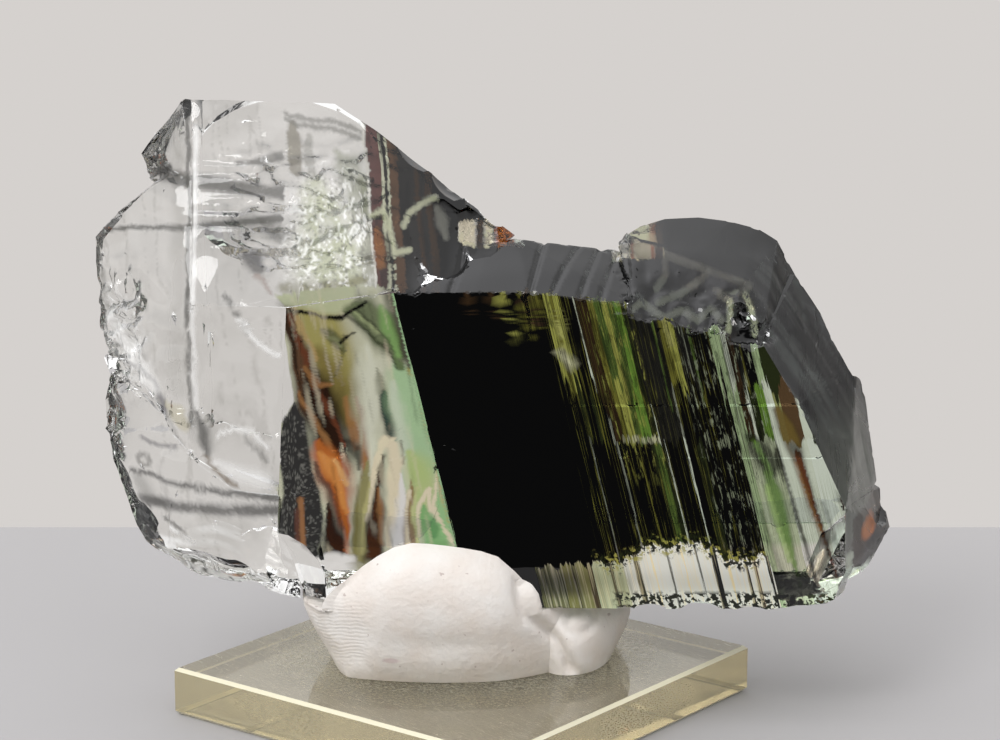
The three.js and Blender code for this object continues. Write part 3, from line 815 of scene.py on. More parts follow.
# Painted highlights: pale lines along the rims of the knob's scallops, where they catch the light.
KNOB = [
    (ASH, 0.5, 0.5, [(23.2, 50.4, 0.2), (26.2, 51.2, 0.25), (28.6, 52.6, 0.2), (29.6, 53.6, 0.12)]),
    (ASH, 0.4, 0.5, [(24.4, 55.2, 0.12), (24.4, 53.2, 0.14), (23.2, 51.8, 0.12)]),
    (ASH, 0.4, 0.5, [(25.0, 54.9, 0.12), (28.6, 53.9, 0.14), (34.2, 51.9, 0.16)]),
    (ASH, 0.5, 0.5, [
        (20.0, 49.8, 0.12), (21.2, 50.6, 0.22), (22.6, 49.6, 0.15), (24, 48.8, 0.15),
        (26, 49.4, 0.22), (28, 48.6, 0.15), (29.6, 49.6, 0.22), (30.8, 48.6, 0.12),
    ]),
    (MIST, 0.6, 0.4, [(31.8, 50.4, 0.12), (31.9, 49, 0.16), (31.7, 47.6, 0.12)]),
    (MIST, 0.6, 0.4, [(33.6, 51, 0.14), (34.4, 49.6, 0.2), (34.8, 48, 0.18), (34.9, 47, 0.12)]),
    (ASH, 0.5, 0.5, [(30.4, 51.4, 0.12), (31.4, 50.6, 0.18), (33, 51.4, 0.16), (34.2, 51.6, 0.12)]),
]
CRUMPLE = [(-42.5, 50, 1.6), (-41, 45, 3.2), (-40, 41, 2)]  # the crackled patch at the left
# Bright spots at the foot of the slope, by X.
SADDLE_SPOTS = [
    (CREAM, -0.6, 1.4), (UMBER, 1.4, 2.6), (CREAM, 2.6, 3.5), (UMBER, 3.5, 3.9), (AMBER, 3.9, 6.2),
]


def near_line(across, up, path, thin=0.0):
    """How far points lie from a line of changing width, in half widths of at least thin."""
    nearest = np.full(len(across), 9.0)
    for (x0, z0, wide0), (x1, z1, wide1) in zip(path, path[1:]):
        run, rise = x1 - x0, z1 - z0
        along = np.clip(((across - x0) * run + (up - z0) * rise) / (run * run + rise * rise), 0, 1)
        away = np.hypot(across - x0 - along * run, up - z0 - along * rise)
        nearest = np.minimum(nearest, away / np.maximum(thin, wide0 + along * (wide1 - wide0)))
    return nearest


def layered(sheet, bands):
    """The colour of each point's sheet."""
    starts = [start for start, _ in bands]
    colours = np.array([colour for _, colour in bands])
    return colours[np.clip(np.searchsorted(starts, sheet, "right") - 1, 0, len(bands) - 1)]


def paint_swirl(coat, where, x, z, grit):
    """The glass at the slab's left edge, where the colours curl."""
    curl = (mottle(x * 0.5, z * 0.2, 51) - 0.5) * 1.6
    comb = mottle((x + z * 0.2) * 1.5, z * 0.16, 52)
    across, up = x + curl + (comb - 0.5) * 0.55, z + (mottle(x * 0.4, z * 0.3, 53) - 0.5) * 1.6
    coat.lay(MIST, np.ones(len(where)), where)
    # the swirl's colours, with a painted shadow line under the tower's lip
    coat.draw(SWIRL, where, across, up, thin=0.22)
    coat.lay(BLACK, smooth_step(comb, 0.62, 0.8) * 0.45, where)
    coat.lay(CREAM, smooth_step(1 - comb, 0.64, 0.8) * 0.2, where)
    edge = np.interp(z, *zip(*SWIRL_EDGE))
    coat.lay(CLEAR, 1 - smooth_step(x + curl * 0.3, edge - 0.1, edge + 0.1), where)
    crust = 1 - smooth_step(near_line(across * 0.3 + x * 0.7, z, CRUST), 0.9, 1.05)
    coat.lay(SOOT, crust, where)
    coat.lay(ASH, crust * smooth_step(grit, 0.8, 1.0) * 0.6, where)
    coat.draw(CRUST_PARTINGS, where, x, z)
    foot = (1 - smooth_step(z + curl, 20.4, 21)) * (1 - smooth_step(x, -13.5, -12.5))
    coat.lay(CLEAR, foot, where)
    return crust * (1 - foot)


class Corners:
    """Where the corners of the glass's faces lie, in mm, and how their faces are turned."""

    def __init__(self, mesh, seed):
        self.count = len(mesh.loops)
        corner = np.empty(self.count, int)
        mesh.loops.foreach_get("vertex_index", corner)
        place = np.empty(len(mesh.vertices) * 3)
        mesh.vertices.foreach_get("co", place)
        x, y, z = self.x, self.y, self.z = place.reshape(-1, 3)[corner].T / MM
        facing = np.empty(len(mesh.polygons) * 3)
        mesh.polygons.foreach_get("normal", facing)
        self.nx, self.ny, self.nz = np.repeat(facing.reshape(-1, 3), 3, axis=0).T
        self.grit = np.random.default_rng(seed).random(len(mesh.vertices))[corner]
        self.sheet = x - SHEET_DEPTH * y + SHEET_RISE * z - SHEET_ZERO
        behind = y - FRONT_FOOT[0] - (z - FRONT_FOOT[1]) * FRONT_SLOPE
        self.front = (behind < 0.6) & (x > -22.2) & (z < 52.6) & (self.ny < -0.55)
        self.warp = waves(np.column_stack([x, y, z]) * MM, 31, 16, 16 * MM, 4 * MM, 0.8)


def paint_body(coat, solid, at):
    """The pale green body and the skins outside the front face. Returns the side and the saddle's gap."""
    x, y, z, nx, ny, nz = at.x, at.y, at.z, at.nx, at.ny, at.nz
    coat.lay(MINT, 0.5 * smooth_step(at.sheet, -14, 4) * (1 - at.front))
    dark_end = smooth_step(at.sheet, -8.9, -8.3) * smooth_step(z, 20, 21)
    brow = (x > -9) & (z > 46) & (ny < 0.3)
    skin = dark_end * ((ny < 0.3) | (nz > 0.6)) * ((nz > -0.4) | (nx > 0.4) | brow) * (1 - at.front)
    coat.lay(BLACK, skin)
    coat.lay(BLACK, 1.0 * ((x > -10) & (x < 1) & (z > 51.5) & (z < 58) & (y < 8)))
    side = (nx > 0.45) * smooth_step(at.sheet, 5, 9) * (1 - at.front) * (ny < 0.5)
    lines = mottle((y + 0.1 * z) * 1.1, z * 0.05, 71)
    coat.lay(stained("4a4c4e"), side * smooth_step(lines, 0.45, 0.7) * 0.7)
    coat.lay(stained("6f6f6c"), side * (1 - smooth_step(z, 26, 38)) * 0.6)
    # a clear place behind the ledge, at the knob's foot
    window = (z > 54.2) * (x > 18.0) * (x < 24.2) * (y > 4.8)
    coat.lay(CREAM, window)
    coat.lay(CLEAR, window * span(x, 15, 20, 0.4))
    coat.lay(AMBER, window * (span(x, 20.2, 20.6, 0.2) + span(x, 22.6, 23.1, 0.3)).clip(0, 1))
    coat.lay(UMBER, window * span(x, 23.1, 24.2, 0.2))
    gap = (z > 56.0) * (z < 58.9) * (x > -0.6) * (x < 7.2) * (y > 5.0)
    coat.lay(CLEAR, gap)
    for colour, low, high in SADDLE_SPOTS:
        coat.lay(colour, gap * (ny < 0.3) * span(x, low, high, 0.25))
    corner_facet = (x > 46.8) * (z < 24.5)
    coat.lay(stained("3c322c"), corner_facet * (z > 17.5))
    coat.lay(AMBER, corner_facet * blot(x, z, (49.4, 21.8), (1.0, 1.2), 0.3))
    coat.lay(CLEAR, (1.0 * (z < 17.6)) * (1 - at.front))
    # the knob's strokes are painted highlights on its scallop rims
    knob = np.flatnonzero((x > 19) & (z > 46.5) & (ny < 0.2) & (nx < 0.6) & ~at.front)
    coat.draw(KNOB, knob, x[knob] + at.warp[knob, 0] * 0.2, z[knob] + at.warp[knob, 1] * 0.2, solid, 0.75)
    return side, gap


def paint_tower(coat, solid, at, gap):
    """The tower's tall facet: veils and a crazed patch, then the banded slope at its right."""
    tall = np.flatnonzero((at.z > 51.6) & (at.ny < -0.2) & (at.x < 9) & ~at.front & (gap < 0.5))
    x, z = at.x[tall], at.z[tall]
    bend = (mottle(x * 0.5, z * 0.4, 81) - 0.5) * 1.4
    coat.draw(TOWER, tall, x + bend, z + bend * 0.6, solid, 0.12)
    crazed = blot(x, z, (-15.8, 57.4), (5.8, 7.6), 0.45)
    web = mottle(x * 1.1 + z * 0.5 + bend * 1.4, z * 0.55 - x * 0.25 + bend, 82)
    hatch = mottle(x * 1.6 - z * 0.9, z * 0.4 + x * 0.2 - bend, 83)
    cracks = (span(web, 0.47, 0.52, 0.03) + span(hatch, 0.6, 0.66, 0.03)).clip(0, 1)
    shadows = (span(web, 0.38, 0.41, 0.02) + span(hatch, 0.44, 0.46, 0.02)).clip(0, 1)
    coat.lay(WHITE, crazed * smooth_step(web, 0.5, 0.75) * 0.5, tall)
    coat.lay(WHITE, crazed * cracks * 0.8, tall)
    solid.lay((1, 1, 1), crazed * (0.18 + cracks * 0.5), tall)
    coat.lay(SMOKE, crazed * shadows * 0.7, tall)
    lean = x + (z - 60) * 0.1 + at.warp[tall, 0] * 0.2
    slope = span(lean, -11.2, 9.0, 0.1)[:, None]
    coat.colour[tall] += slope * (layered(lean, SLOPE_BANDS) - coat.colour[tall])
    cloudy = mottle(lean * 1.4, z * 0.16, 84)
    coat.lay(BLACK, span(lean, -10.6, 9, 0.2) * smooth_step(cloudy, 0.45, 0.65) * 0.8, tall)
    # the slope's orange patch, with its painted rim highlights and sheen
    coat.draw(SLOPE, tall, x + bend * 0.3, z + bend * 0.3, solid, 0.4)


def paint_clear_end(coat, solid, at):
    """Flow lines, smudges, painted shade, painted glints and a crumpled patch in the clear end."""
    pale = np.flatnonzero((at.x < -21.5) & (at.ny < -0.1) & ~at.front)
    x, z = at.x[pale], at.z[pale]
    drift = (mottle(x * 0.7, z * 0.5, 91) - 0.5) * 0.9
    shade = smooth_step(mottle(x * 0.14 + drift, z * 0.14, 92), 0.45, 0.75)
    coat.lay(stained("b6b5b0"), shade * 0.35, pale)
    flow = mottle(x * 0.45 + drift * 0.4 + z * 0.05, z * 0.07, 93)
    coat.lay(stained("b4b3ae"), span(flow, 0.44, 0.48, 0.04) * 0.4, pale)
    # smudges, with painted shade and highlights, in the clear end
    coat.draw(CLEAR_END, pale, x + drift, z + drift * 0.6, solid, 0.15)
    turns = np.arange(0, 6.9, 0.6)
    ring = [(-39.0 + 0.8 * math.cos(turn), 30 + 0.7 * math.sin(turn), 0.14) for turn in turns]
    coat.draw([(SMOKE, 0.7, 0.5, ring)], pale, x, z)
    coat.draw(CLEAR_GLINTS, pale, x + drift * 0.5, z + drift * 0.3, solid, 0.75)
    specks = (1 - smooth_step(z, 16.5, 18.5)) * smooth_step(at.grit[pale], 0.95, 0.97)
    coat.lay(UMBER, specks * 0.9, pale)
    crumple = 1 - smooth_step(near_line(x, z, CRUMPLE), 0.5, 1.3)
    web = mottle(x * 1.3 + z * 0.4, z * 0.9 - x * 0.3, 94)
    creases = span(web, 0.5, 0.6, 0.05)
    coat.lay(WHITE, crumple * creases * 0.8, pale)
    # painted shade: grey lines beside the bright creases
    coat.lay(ASH, crumple * span(web, 0.4, 0.44, 0.03) * 0.7, pale)
    solid.lay((1, 1, 1), crumple * (0.1 + 0.35 * creases), pale)


def paint_glass(mesh, seed):
    """Paints the corners of the glass: "paint" is its colour, "finish" its sheets, roughness and body."""
    at = Corners(mesh, seed)
    coat = Coat(at.count, CLEAR)
    solid = Coat(at.count, (0, 0, 0))
    side, gap = paint_body(coat, solid, at)
    paint_tower(coat, solid, at, gap)
    paint_clear_end(coat, solid, at)
    swirl = np.flatnonzero(at.front & (at.sheet < SLAB_START))
    crust = paint_swirl(coat, swirl, at.x[swirl], at.z[swirl], at.grit[swirl])
    on_slab = at.front & (at.sheet >= SLAB_START)
    slab = np.flatnonzero(on_slab)
    coat.lay(BLACK, np.ones(len(slab)), slab)
    over = coat.draw(SLAB, slab, at.sheet[slab] + at.warp[slab, 0] * 0.12, at.z[slab])
    coat.store(mesh, "paint")

    shows_sheets = np.zeros(at.count)
    shows_sheets[slab] = 1 - over
    rough = side * 0.3
    rough[swirl] = crust * 0.5
    solid.lay((1, 1, 1), crust * 0.3, swirl)
    finish = Coat(at.count, (0, 0, 0))
    finish.colour = np.column_stack([shows_sheets, rough, solid.colour[:, 0]])
    finish.store(mesh, "finish", 1.0 * on_slab)


def band_stops(bands, low, high):
    """Ramp stops for bands that start hard."""
    return [((start - low) / (high - low), colour) for start, colour in bands]


def banded_glass(size):
    made, nodes, shader = material("banded_glass", Transmission_Weight=1.0, IOR=size.glass_ior)
    _, x, y, z = nodes.place()
    paint, _ = nodes.painted("paint")
    _, (shows_sheets, rough, solid, on_slab) = nodes.painted("finish")
    sheet = x - SHEET_DEPTH * y + SHEET_RISE * z - SHEET_ZERO
    fine = nodes.noise(nodes.join(sheet * 3.4, 0.0, z * 0.09), 1.0, 3.0, 0.7)
    broad = nodes.noise(nodes.join(sheet * 0.8, 5.0, z * 0.12), 1.0, 1.0)
    fleck = nodes.noise(nodes.join(sheet * 1.9, 9.0, z * 0.42), 1.0, 3.0, 0.65)
    low, high = SHEET_SPAN
    across = (sheet + (fine - 0.5) * 0.9 - low) / (high - low)

    def sheets(bands):
        return nodes.ramp(across, band_stops(bands, low, high), "CONSTANT")

    ragged = (broad - 0.5) * 16.0 + (fine - 0.5) * 9.0
    front = nodes.mix(sheets(MIDDLE_SHEETS), sheets(HIGH_SHEETS), (z + ragged).above(40.5, 0.3))
    front = nodes.mix(sheets(LOW_SHEETS), front, (z + ragged * 0.25).above(34.2, 0.2))
    hair = nodes.noise(nodes.join(sheet * 7.0, 2.0, z * 0.10), 1.0, 2.0, 0.7)
    pale_zone = sheet.above(29.3, 0.3) * z.below(29.5, 3.0)
    strands = hair.above(0.5, 0.1) * 0.75 + broad.above(0.55, 0.1) * 0.5 + fleck.above(0.58, 0.06) * 0.6
    light = fleck.below(0.42, 0.06) * hair.below(0.5, 0.1) * sheet.within(14.0, 33.0, 1.0)
    front = nodes.mix(front, STRAW, light * z.above(31.0, 4.0) * sheet.within(14.0, 19.2, 0.5) * 0.6)
    front = nodes.mix(front, MIST, light * sheet.within(24.0, 33.5, 1.0) * 0.3)
    front = nodes.mix(front, SAGE, pale_zone * hair.above(0.52, 0.06) * 0.4)
    wire = nodes.noise(nodes.join(sheet * 1.7, 8.0, z * 0.025), 1.0, 2.0, 0.6)
    threads = wire.within(0.487, 0.5, 0.012) * sheet.within(9.0, 28.0, 1.0) * hair.below(0.55, 0.05)
    front = nodes.mix(front, OLIVE, threads * 0.8)
    # painted highlight: a cream line where the bands break off, near Z 34.5
    ends = (z + (fine - 0.5) * 3.0).within(34.1, 34.8, 0.2) * sheet.within(14.8, 19.3, 0.2)
    front = nodes.mix(front, CREAM, ends * fine.below(0.5, 0.1) * 0.8)
    tops = [((line - low) / (high - low), (top / 40,) * 3) for line, top in STRIP_TOP]
    strip_top = nodes.ramp(across, tops)
    brink = Signal(nodes, strip_top) * 40.0 + ragged * 0.2 - z
    in_strip = brink.above(0.0, 0.15) * sheet.within(0.5, 29.0, 0.2)
    strip = nodes.mix(sheets(STRIP_LINES), CREAM, fine.above(0.56, 0.1) * 0.45)
    strip = nodes.mix(strip, SAGE, sheet.below(13.0, 3.0) * hair.above(0.5, 0.2) * 0.5)
    front = nodes.mix(front, strip, in_strip)
    crumbs = nodes.noise(nodes.join(sheet * 1.3, 3.0, z * 1.5), 1.0, 2.0, 0.6)
    torn = brink.within(-1.0, 1.0, 0.5) * sheet.within(8.0, 28.5, 1.0)
    front = nodes.mix(front, BOG, torn * crumbs.above(0.54, 0.04))
    front = nodes.mix(front, STRAW, torn * crumbs.below(0.44, 0.04) * 0.8)
    foot = (z - 15.4).below(0.9, 0.5) * sheet.above(9.0, 1.0)
    front = nodes.mix(front, BOG, foot * crumbs.above(0.5, 0.04))
    colour = nodes.mix(paint, front, shows_sheets)
    streaked = strands * sheet.within(4.5, 33.2, 1.0) * (1.0 - pale_zone * 0.8)
    colour = nodes.mix(colour, BLACK, (streaked * on_slab * (1.0 - in_strip)).clip() * 0.92)
    nodes.feed(shader, "Base Color", colour)
    bruised = nodes.add("ShaderNodeBsdfPrincipled", Base_Color=colour, Roughness=0.4, IOR=size.glass_ior)
    bruise = in_strip * shows_sheets * sheet.above(5.5, 3.0) * 0.6 + solid
    nodes.feed(shader, "Roughness", (rough * (0.5 + fine) + in_strip * shows_sheets * 0.45).clip())
    return blend_over(made, nodes, shader, bruised, bruise)


class CrystalSize(PropertyGroup):
    glass_ior: FloatProperty(name="IOR", description="Refraction of the glass", default=1.5)
    mesh_step: FloatProperty(
        name="Mesh step", description="Distance between the mesh lines on the glass",
        default=2.7 * MM, unit="LENGTH",
    )
    chip_spacing: FloatProperty(
        name="Chip spacing", description="Distance between chips along an edge",
        default=1.5 * MM, unit="LENGTH",
    )
    chip_radius: FloatProperty(
        name="Chip radius", description="Largest chip on an edge", default=1.6 * MM, unit="LENGTH"
    )
    seed: IntProperty(name="Seed", description="Seed of the chips and ripples", default=4)


def chip_tree():
    """Geometry nodes that knock shallow shells out of a solid along its worn sharp edges."""
    tree = bpy.data.node_groups.new("Edge chips", "GeometryNodeTree")
    face = tree.interface
    face.new_socket("Solid", in_out="INPUT", socket_type="NodeSocketGeometry")
    for name, value in (("Spacing", 1.0 * MM), ("Radius", 2.2 * MM), ("Sharp Angle", 0.6)):
        face.new_socket(name, in_out="INPUT", socket_type="NodeSocketFloat").default_value = value
    face.new_socket("Seed", in_out="INPUT", socket_type="NodeSocketInt").default_value = 1
    face.new_socket("Finish", in_out="INPUT", socket_type="NodeSocketMaterial")
    face.new_socket("Chipped", in_out="OUTPUT", socket_type="NodeSocketGeometry")
    entry = tree.nodes.new("NodeGroupInput")
    leave = tree.nodes.new("NodeGroupOutput")

    def add(kind, settings=None, **inputs):
        node = tree.nodes.new(kind)
        for key, value in (settings or {}).items():
            setattr(node, key, value)
        for key, value in inputs.items():
            socket = node.inputs[int(key[1:])] if key[1:].isdigit() else node.inputs[key.replace("_", " ")]
            if isinstance(value, bpy.types.NodeSocket):
                tree.links.new(value, socket)
            else:
                socket.default_value = value
        return node

    def chance(kind, offset, **limits):
        seed = add("FunctionNodeIntegerMath", i0=entry.outputs["Seed"], i1=offset)
        node = add("FunctionNodeRandomValue", {"data_type": kind}, Seed=seed.outputs[0], **limits)
        return next(out for out in node.outputs if out.enabled)

    def multiply(first, second):
        return add("ShaderNodeMath", {"operation": "MULTIPLY"}, i0=first, i1=second).outputs[0]

    angle = add("GeometryNodeInputMeshEdgeAngle")
    sharp = add("FunctionNodeCompare", A=angle.outputs["Signed Angle"], B=entry.outputs["Sharp Angle"])
    facing = add("GeometryNodeInputNormal")
    keep_out = add("GeometryNodeCaptureAttribute", Geometry=entry.outputs["Solid"])
    keep_out.capture_items.new("VECTOR", "Out")
    tree.links.new(facing.outputs[0], keep_out.inputs[1])
    rails = add("GeometryNodeMeshToCurve", Mesh=keep_out.outputs["Geometry"], Selection=sharp.outputs[0])
    spaced = add(
        "GeometryNodeResampleCurve", {"mode": "LENGTH"},
        Curve=rails.outputs[0], Length=entry.outputs["Spacing"],
    )
    # a chip's middle stands outside the edge, so that only a shallow shell comes off
    radius = multiply(chance("FLOAT", 3, i2=0.25, i3=1.0), entry.outputs["Radius"])
    reach = multiply(radius, chance("FLOAT", 4, i2=0.72, i3=0.95))
    push = add("ShaderNodeVectorMath", {"operation": "SCALE"}, i0=keep_out.outputs[1], Scale=reach)
    moved = add("GeometryNodeSetPosition", Geometry=spaced.outputs[0], Offset=push.outputs[0])
    wear = add("GeometryNodeInputNamedAttribute", Name="wear")
    struck = add("FunctionNodeCompare", {"operation": "LESS_THAN"}, A=chance("FLOAT", 1, i2=0.0, i3=1.0))
    tree.links.new(wear.outputs["Attribute"], struck.inputs["B"])
    bead = add("GeometryNodeMeshIcoSphere", Radius=1.0, Subdivisions=2)
    full = (math.tau,) * 3
    scatter = add(
        "GeometryNodeInstanceOnPoints", Points=moved.outputs[0], Instance=bead.outputs[0],
        Selection=struck.outputs[0], Rotation=chance("FLOAT_VECTOR", 2, i1=full), Scale=radius,
    )
    real = add("GeometryNodeRealizeInstances", i0=scatter.outputs[0])
    cut = add("GeometryNodeMeshBoolean", {"operation": "DIFFERENCE", "solver": "MANIFOLD"})
    tree.links.new(entry.outputs["Solid"], cut.inputs["Mesh 1"])
    tree.links.new(real.outputs[0], cut.inputs["Mesh 2"])
    whole = add("GeometryNodeRealizeInstances", i0=cut.outputs[0])
    dress = add("GeometryNodeSetMaterial", Geometry=whole.outputs[0], Material=entry.outputs["Finish"])
    tree.links.new(dress.outputs[0], leave.inputs["Chipped"])
    return tree


def edge_wear(place):
    """How likely a chip is at a point in mm: most on the dark end's edges, few on the clear end."""
    x, y, z = place
    if x < -20:
        return 0.5 if z < 34 or x < -36 else 0.08
    if x < -8 and z < 53:
        return 0.15
    if z > 62:
        return 0.15
    if y < 1.5 and 46 < z < 54:
        return 0.9
    return 0.3


def run_tree(bm, tree, **values):
    """The mesh that a node tree makes of a bmesh."""
    mesh = bpy.data.meshes.new("blank")
    bm.to_mesh(mesh)
    bm.free()
    carrier = bpy.data.objects.new("blank", mesh)
    bpy.context.scene.collection.objects.link(carrier)
    modifier = carrier.modifiers.new("tree", "NODES")
    modifier.node_group = tree
    for item in tree.interface.items_tree:
        if item.in_out == "INPUT" and item.name in values:
            modifier[item.identifier] = values[item.name]
    depsgraph = bpy.context.evaluated_depsgraph_get()
    result = bpy.data.meshes.new_from_object(carrier.evaluated_get(depsgraph))
    carrier.modifiers.clear()
    bpy.data.objects.remove(carrier)
    return result


# Places on the glass in mm: the rim of the low shell on the clear end (X, Z), and the traces
# across the ledge (X at Y = -2, X at Y = 4.5, depth).
SHELL_RIM = [
    (-44, 45), (-41, 43), (-38.4, 39.3), (-36.4, 36.8), (-34, 33.2), (-31.5, 31.1), (-27.3, 28.3),
    (-21, 27.8),
]
RIDGE = [(15, -36.5), (30, -33.4), (36, -32.6), (50, -32.5), (62, -32.8), (74, -33.4)]
LEDGE_TRACES = [
    (-1.4, 0.0, 0.20), (7.9, 9.3, 0.3), (10.6, 13.0, 0.22), (14.0, 15.7, 0.24), (16.4, 18.0, 0.2),
]
KNOB_LINE = [(22, 5.6), (25, 5.0), (28, 3.8), (29.2, 4.2), (31.5, 2.3), (34.4, 2.4), (38, 1.0)]


# Where the mesh is finer, by place in mm and facing, and its longest edge there.
FINE_AREAS = (
    (lambda x, y, z, nx, ny, nz: True, 3.4),
    (lambda x, y, z, nx, ny, nz: ny < -0.97 and x > -23, 1.7),
    (lambda x, y, z, nx, ny, nz: ny < -0.97 and x + 0.285 * z > 42.5, 0.6),
    (lambda x, y, z, nx, ny, nz: ny < -0.97 and x > -22.6 and x + 0.285 * z < 8.2 and z > 20, 0.36),
    (lambda x, y, z, nx, ny, nz: ny > 0.3 and -29 < x < -7 and 47 < z < 69, 0.7),
    (lambda x, y, z, nx, ny, nz: nz > 0.35 and -4 < x < 20 and z > 50 and ny < 0, 0.5),
    (lambda x, y, z, nx, ny, nz: x > 20 and z > 46 and ny < 0.3 and y < 7, 0.55),
    (lambda x, y, z, nx, ny, nz: ny < -0.3 and x < -22.5, 0.8),
    (lambda x, y, z, nx, ny, nz: ny < -0.4 and x < 8 and z > 51.5, 0.5),
    (lambda x, y, z, nx, ny, nz: nx > 0.45 and x > 32, 1.2),
)


def groove(off, width):
    """1 along a line, falling to 0 at half a width from it, with straight sides."""
    return np.clip(1 - np.abs(off) / (width / 2), 0, 1)


def wear_glass(place, normals, seed):
    """Moves each point of the glass inwards or outwards: waves, splinters, traces and shell rims."""
    x, y, z = (place / MM).T
    nx, ny, nz = normals.T
    flat = smooth_step(-ny, 0.9, 0.97) * smooth_step(x, -22, -21)
    moved = place + waves(place, seed, 24, 14 * MM, 3 * MM, 1.2) * ((0.08 - 0.075 * flat) * MM)[:, None]
    lift = np.zeros(len(place))

    # splintered wall behind the tower, and long ripples over the rest of the back
    behind = smooth_step(ny, 0.1, 0.6)
    wall = behind * span(x, -27, -9, 5) * span(z, 50, 66, 6)
    lift += wall * folds(place, seed + 10, 6, 3.4 * MM, 1.3 * MM) * 1.0
    far_left = 1 - smooth_step(x, -37, -31)
    lift += behind * (1 - wall) * folds(place, seed + 20, 5, 14 * MM, 4 * MM) * (0.1 + 0.25 * far_left)

    # the clear end: crackled left edge, a ridge, a shell with a sharp rim, growth lines, a scratch
    face = smooth_step(-ny, 0.25, 0.5) * (1 - smooth_step(x, -22.5, -21.5))
    crackle = blot(x, z, (-41.5, 45.5), (3.4, 7.0), 0.5)
    lift += crackle * folds(place, seed + 30, 6, 3 * MM, 1.2 * MM) * 0.7
    lift += face * far_left * folds(place, seed + 35, 5, 8 * MM, 3 * MM) * 0.35
    lift -= face * np.clip(np.interp(z, *zip(*RIDGE)) - x, 0, 6) * 0.05
    below = np.interp(x, *zip(*SHELL_RIM)) - z
    lift -= face * smooth_step(below, 0, 0.5) * np.exp(-np.clip(below, 0, 20) / 5) * 0.9
    lift += face * groove(below + 0.3, 1.0) * 0.2
    for number in range(3):
        ring = np.hypot(x + 22 - number, z - 40) - 6.5 - 1.3 * number
        lift -= face * groove(ring, 0.7) * 0.1 * (z < 37) * (x < -23)
    scratch = np.hypot(x + 34.5, z - 40) - 13.3
    lift -= face * groove(scratch, 0.5) * 0.12 * (z > 44) * (z < 51) * (x > -29)
    tower = smooth_step(-ny, 0.4, 0.6) * smooth_step(z, 52, 53) * (x < -9)
    lines = streaks(z, x, seed + 40, 0.9, 30)
    lift += tower * lines * 0.025 * span(z, 57, 67, 4) * span(x, -34, -19, 5)

    # the ledge and the knob: traces from front to back, a broken brow, faint scales
    dark_top = smooth_step(nz, 0.3, 0.6) * (x > -8) * (z > 46)
    for front_x, back_x, depth in LEDGE_TRACES:
        line = front_x + (y + 2) / 6.5 * (back_x - front_x)
        lift -= dark_top * groove(x - line, 0.9) * depth * (x < 20)
        lift += dark_top * np.clip(x - line, 0, 3) * 0.02 * (x < 20)
    brow = np.interp(x, *zip(*KNOB_LINE)) - y
    lift -= dark_top * smooth_step(x, 20, 22) * np.clip(brow, 0, 3) * 0.16
    edge = span(x, 19, 37, 2) * span(z, 46.5, 51.8, 1.0) * (1 - smooth_step(y, 0.5, 2.5)) * (1 - flat)
    lift += edge * folds(place, seed + 50, 5, 4 * MM, 1.6 * MM) * 0.35
    lift += dark_top * smooth_step(x, 20, 22) * folds(place, seed + 60, 3, 12 * MM, 6 * MM) * 0.05

    # the right side: lengthwise lines
    side = smooth_step(nx, 0.4, 0.6) * (x > 32)
    lift += side * (mottle(y * 0.8, z * 0.07, seed + 70) - 0.5) * 0.16
    return moved + normals * (np.clip(lift, -1.5, 0.35) * MM)[:, None]


class SPECIMEN_OT_crystal(Operator):
    """Chips, ripples and colours the glass"""

    bl_idname = "specimen.crystal"
    bl_label = "Crystal"

    def execute(self, context):
        size = context.scene.specimen_crystal
        finish = banded_glass(size)
        bare = node_copy("crystal")
        wear = bare.verts.layers.float.new("wear")
        for vert in bare.verts:
            vert[wear] = edge_wear(vert.co / MM)
        chipped = run_tree(
            bare, chip_tree(), Spacing=size.chip_spacing,
            Radius=size.chip_radius, Seed=size.seed, Finish=finish,
        )
        bm = bmesh.new()
        bm.from_mesh(chipped)
        slice_up(bm, size.mesh_step)
        for test, longest in FINE_AREAS:
            subdivide(bm, test, longest)
        mark_sharp(bm, 32)
        put_back(bm, relax(bm, 8))
        bm.normal_update()
        place = np.array([v.co for v in bm.verts])
        normals = np.array([v.normal for v in bm.verts])
        put_back(bm, wear_glass(place, normals, size.seed))
        bm.to_mesh(chipped)
        bm.free()
        paint_glass(chipped, size.seed)
        piece = add_object("glass_lump", chipped, finish)
        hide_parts("crystal")
        return {"FINISHED"}


# ---- the putty -----------------------------------------------------------------------------------


class PuttySize(PropertyGroup):
    colour: FloatVectorProperty(
        name="Colour", description="Putty colour", subtype="COLOR", default=(0.80, 0.765, 0.725)
    )


PUTTY_CREASE = [(6, 13.2), (10, 11.4), (12, 9.8), (14, 7.9), (17, 7.1), (18.5, 6.9)]  # Z, X
PUTTY_TOP = [  # X, share of height
    (-22, 1.0), (-12, 0.97), (-6, 0.96), (3, 0.90), (7, 0.88), (9, 1.0), (22, 1.0),
]


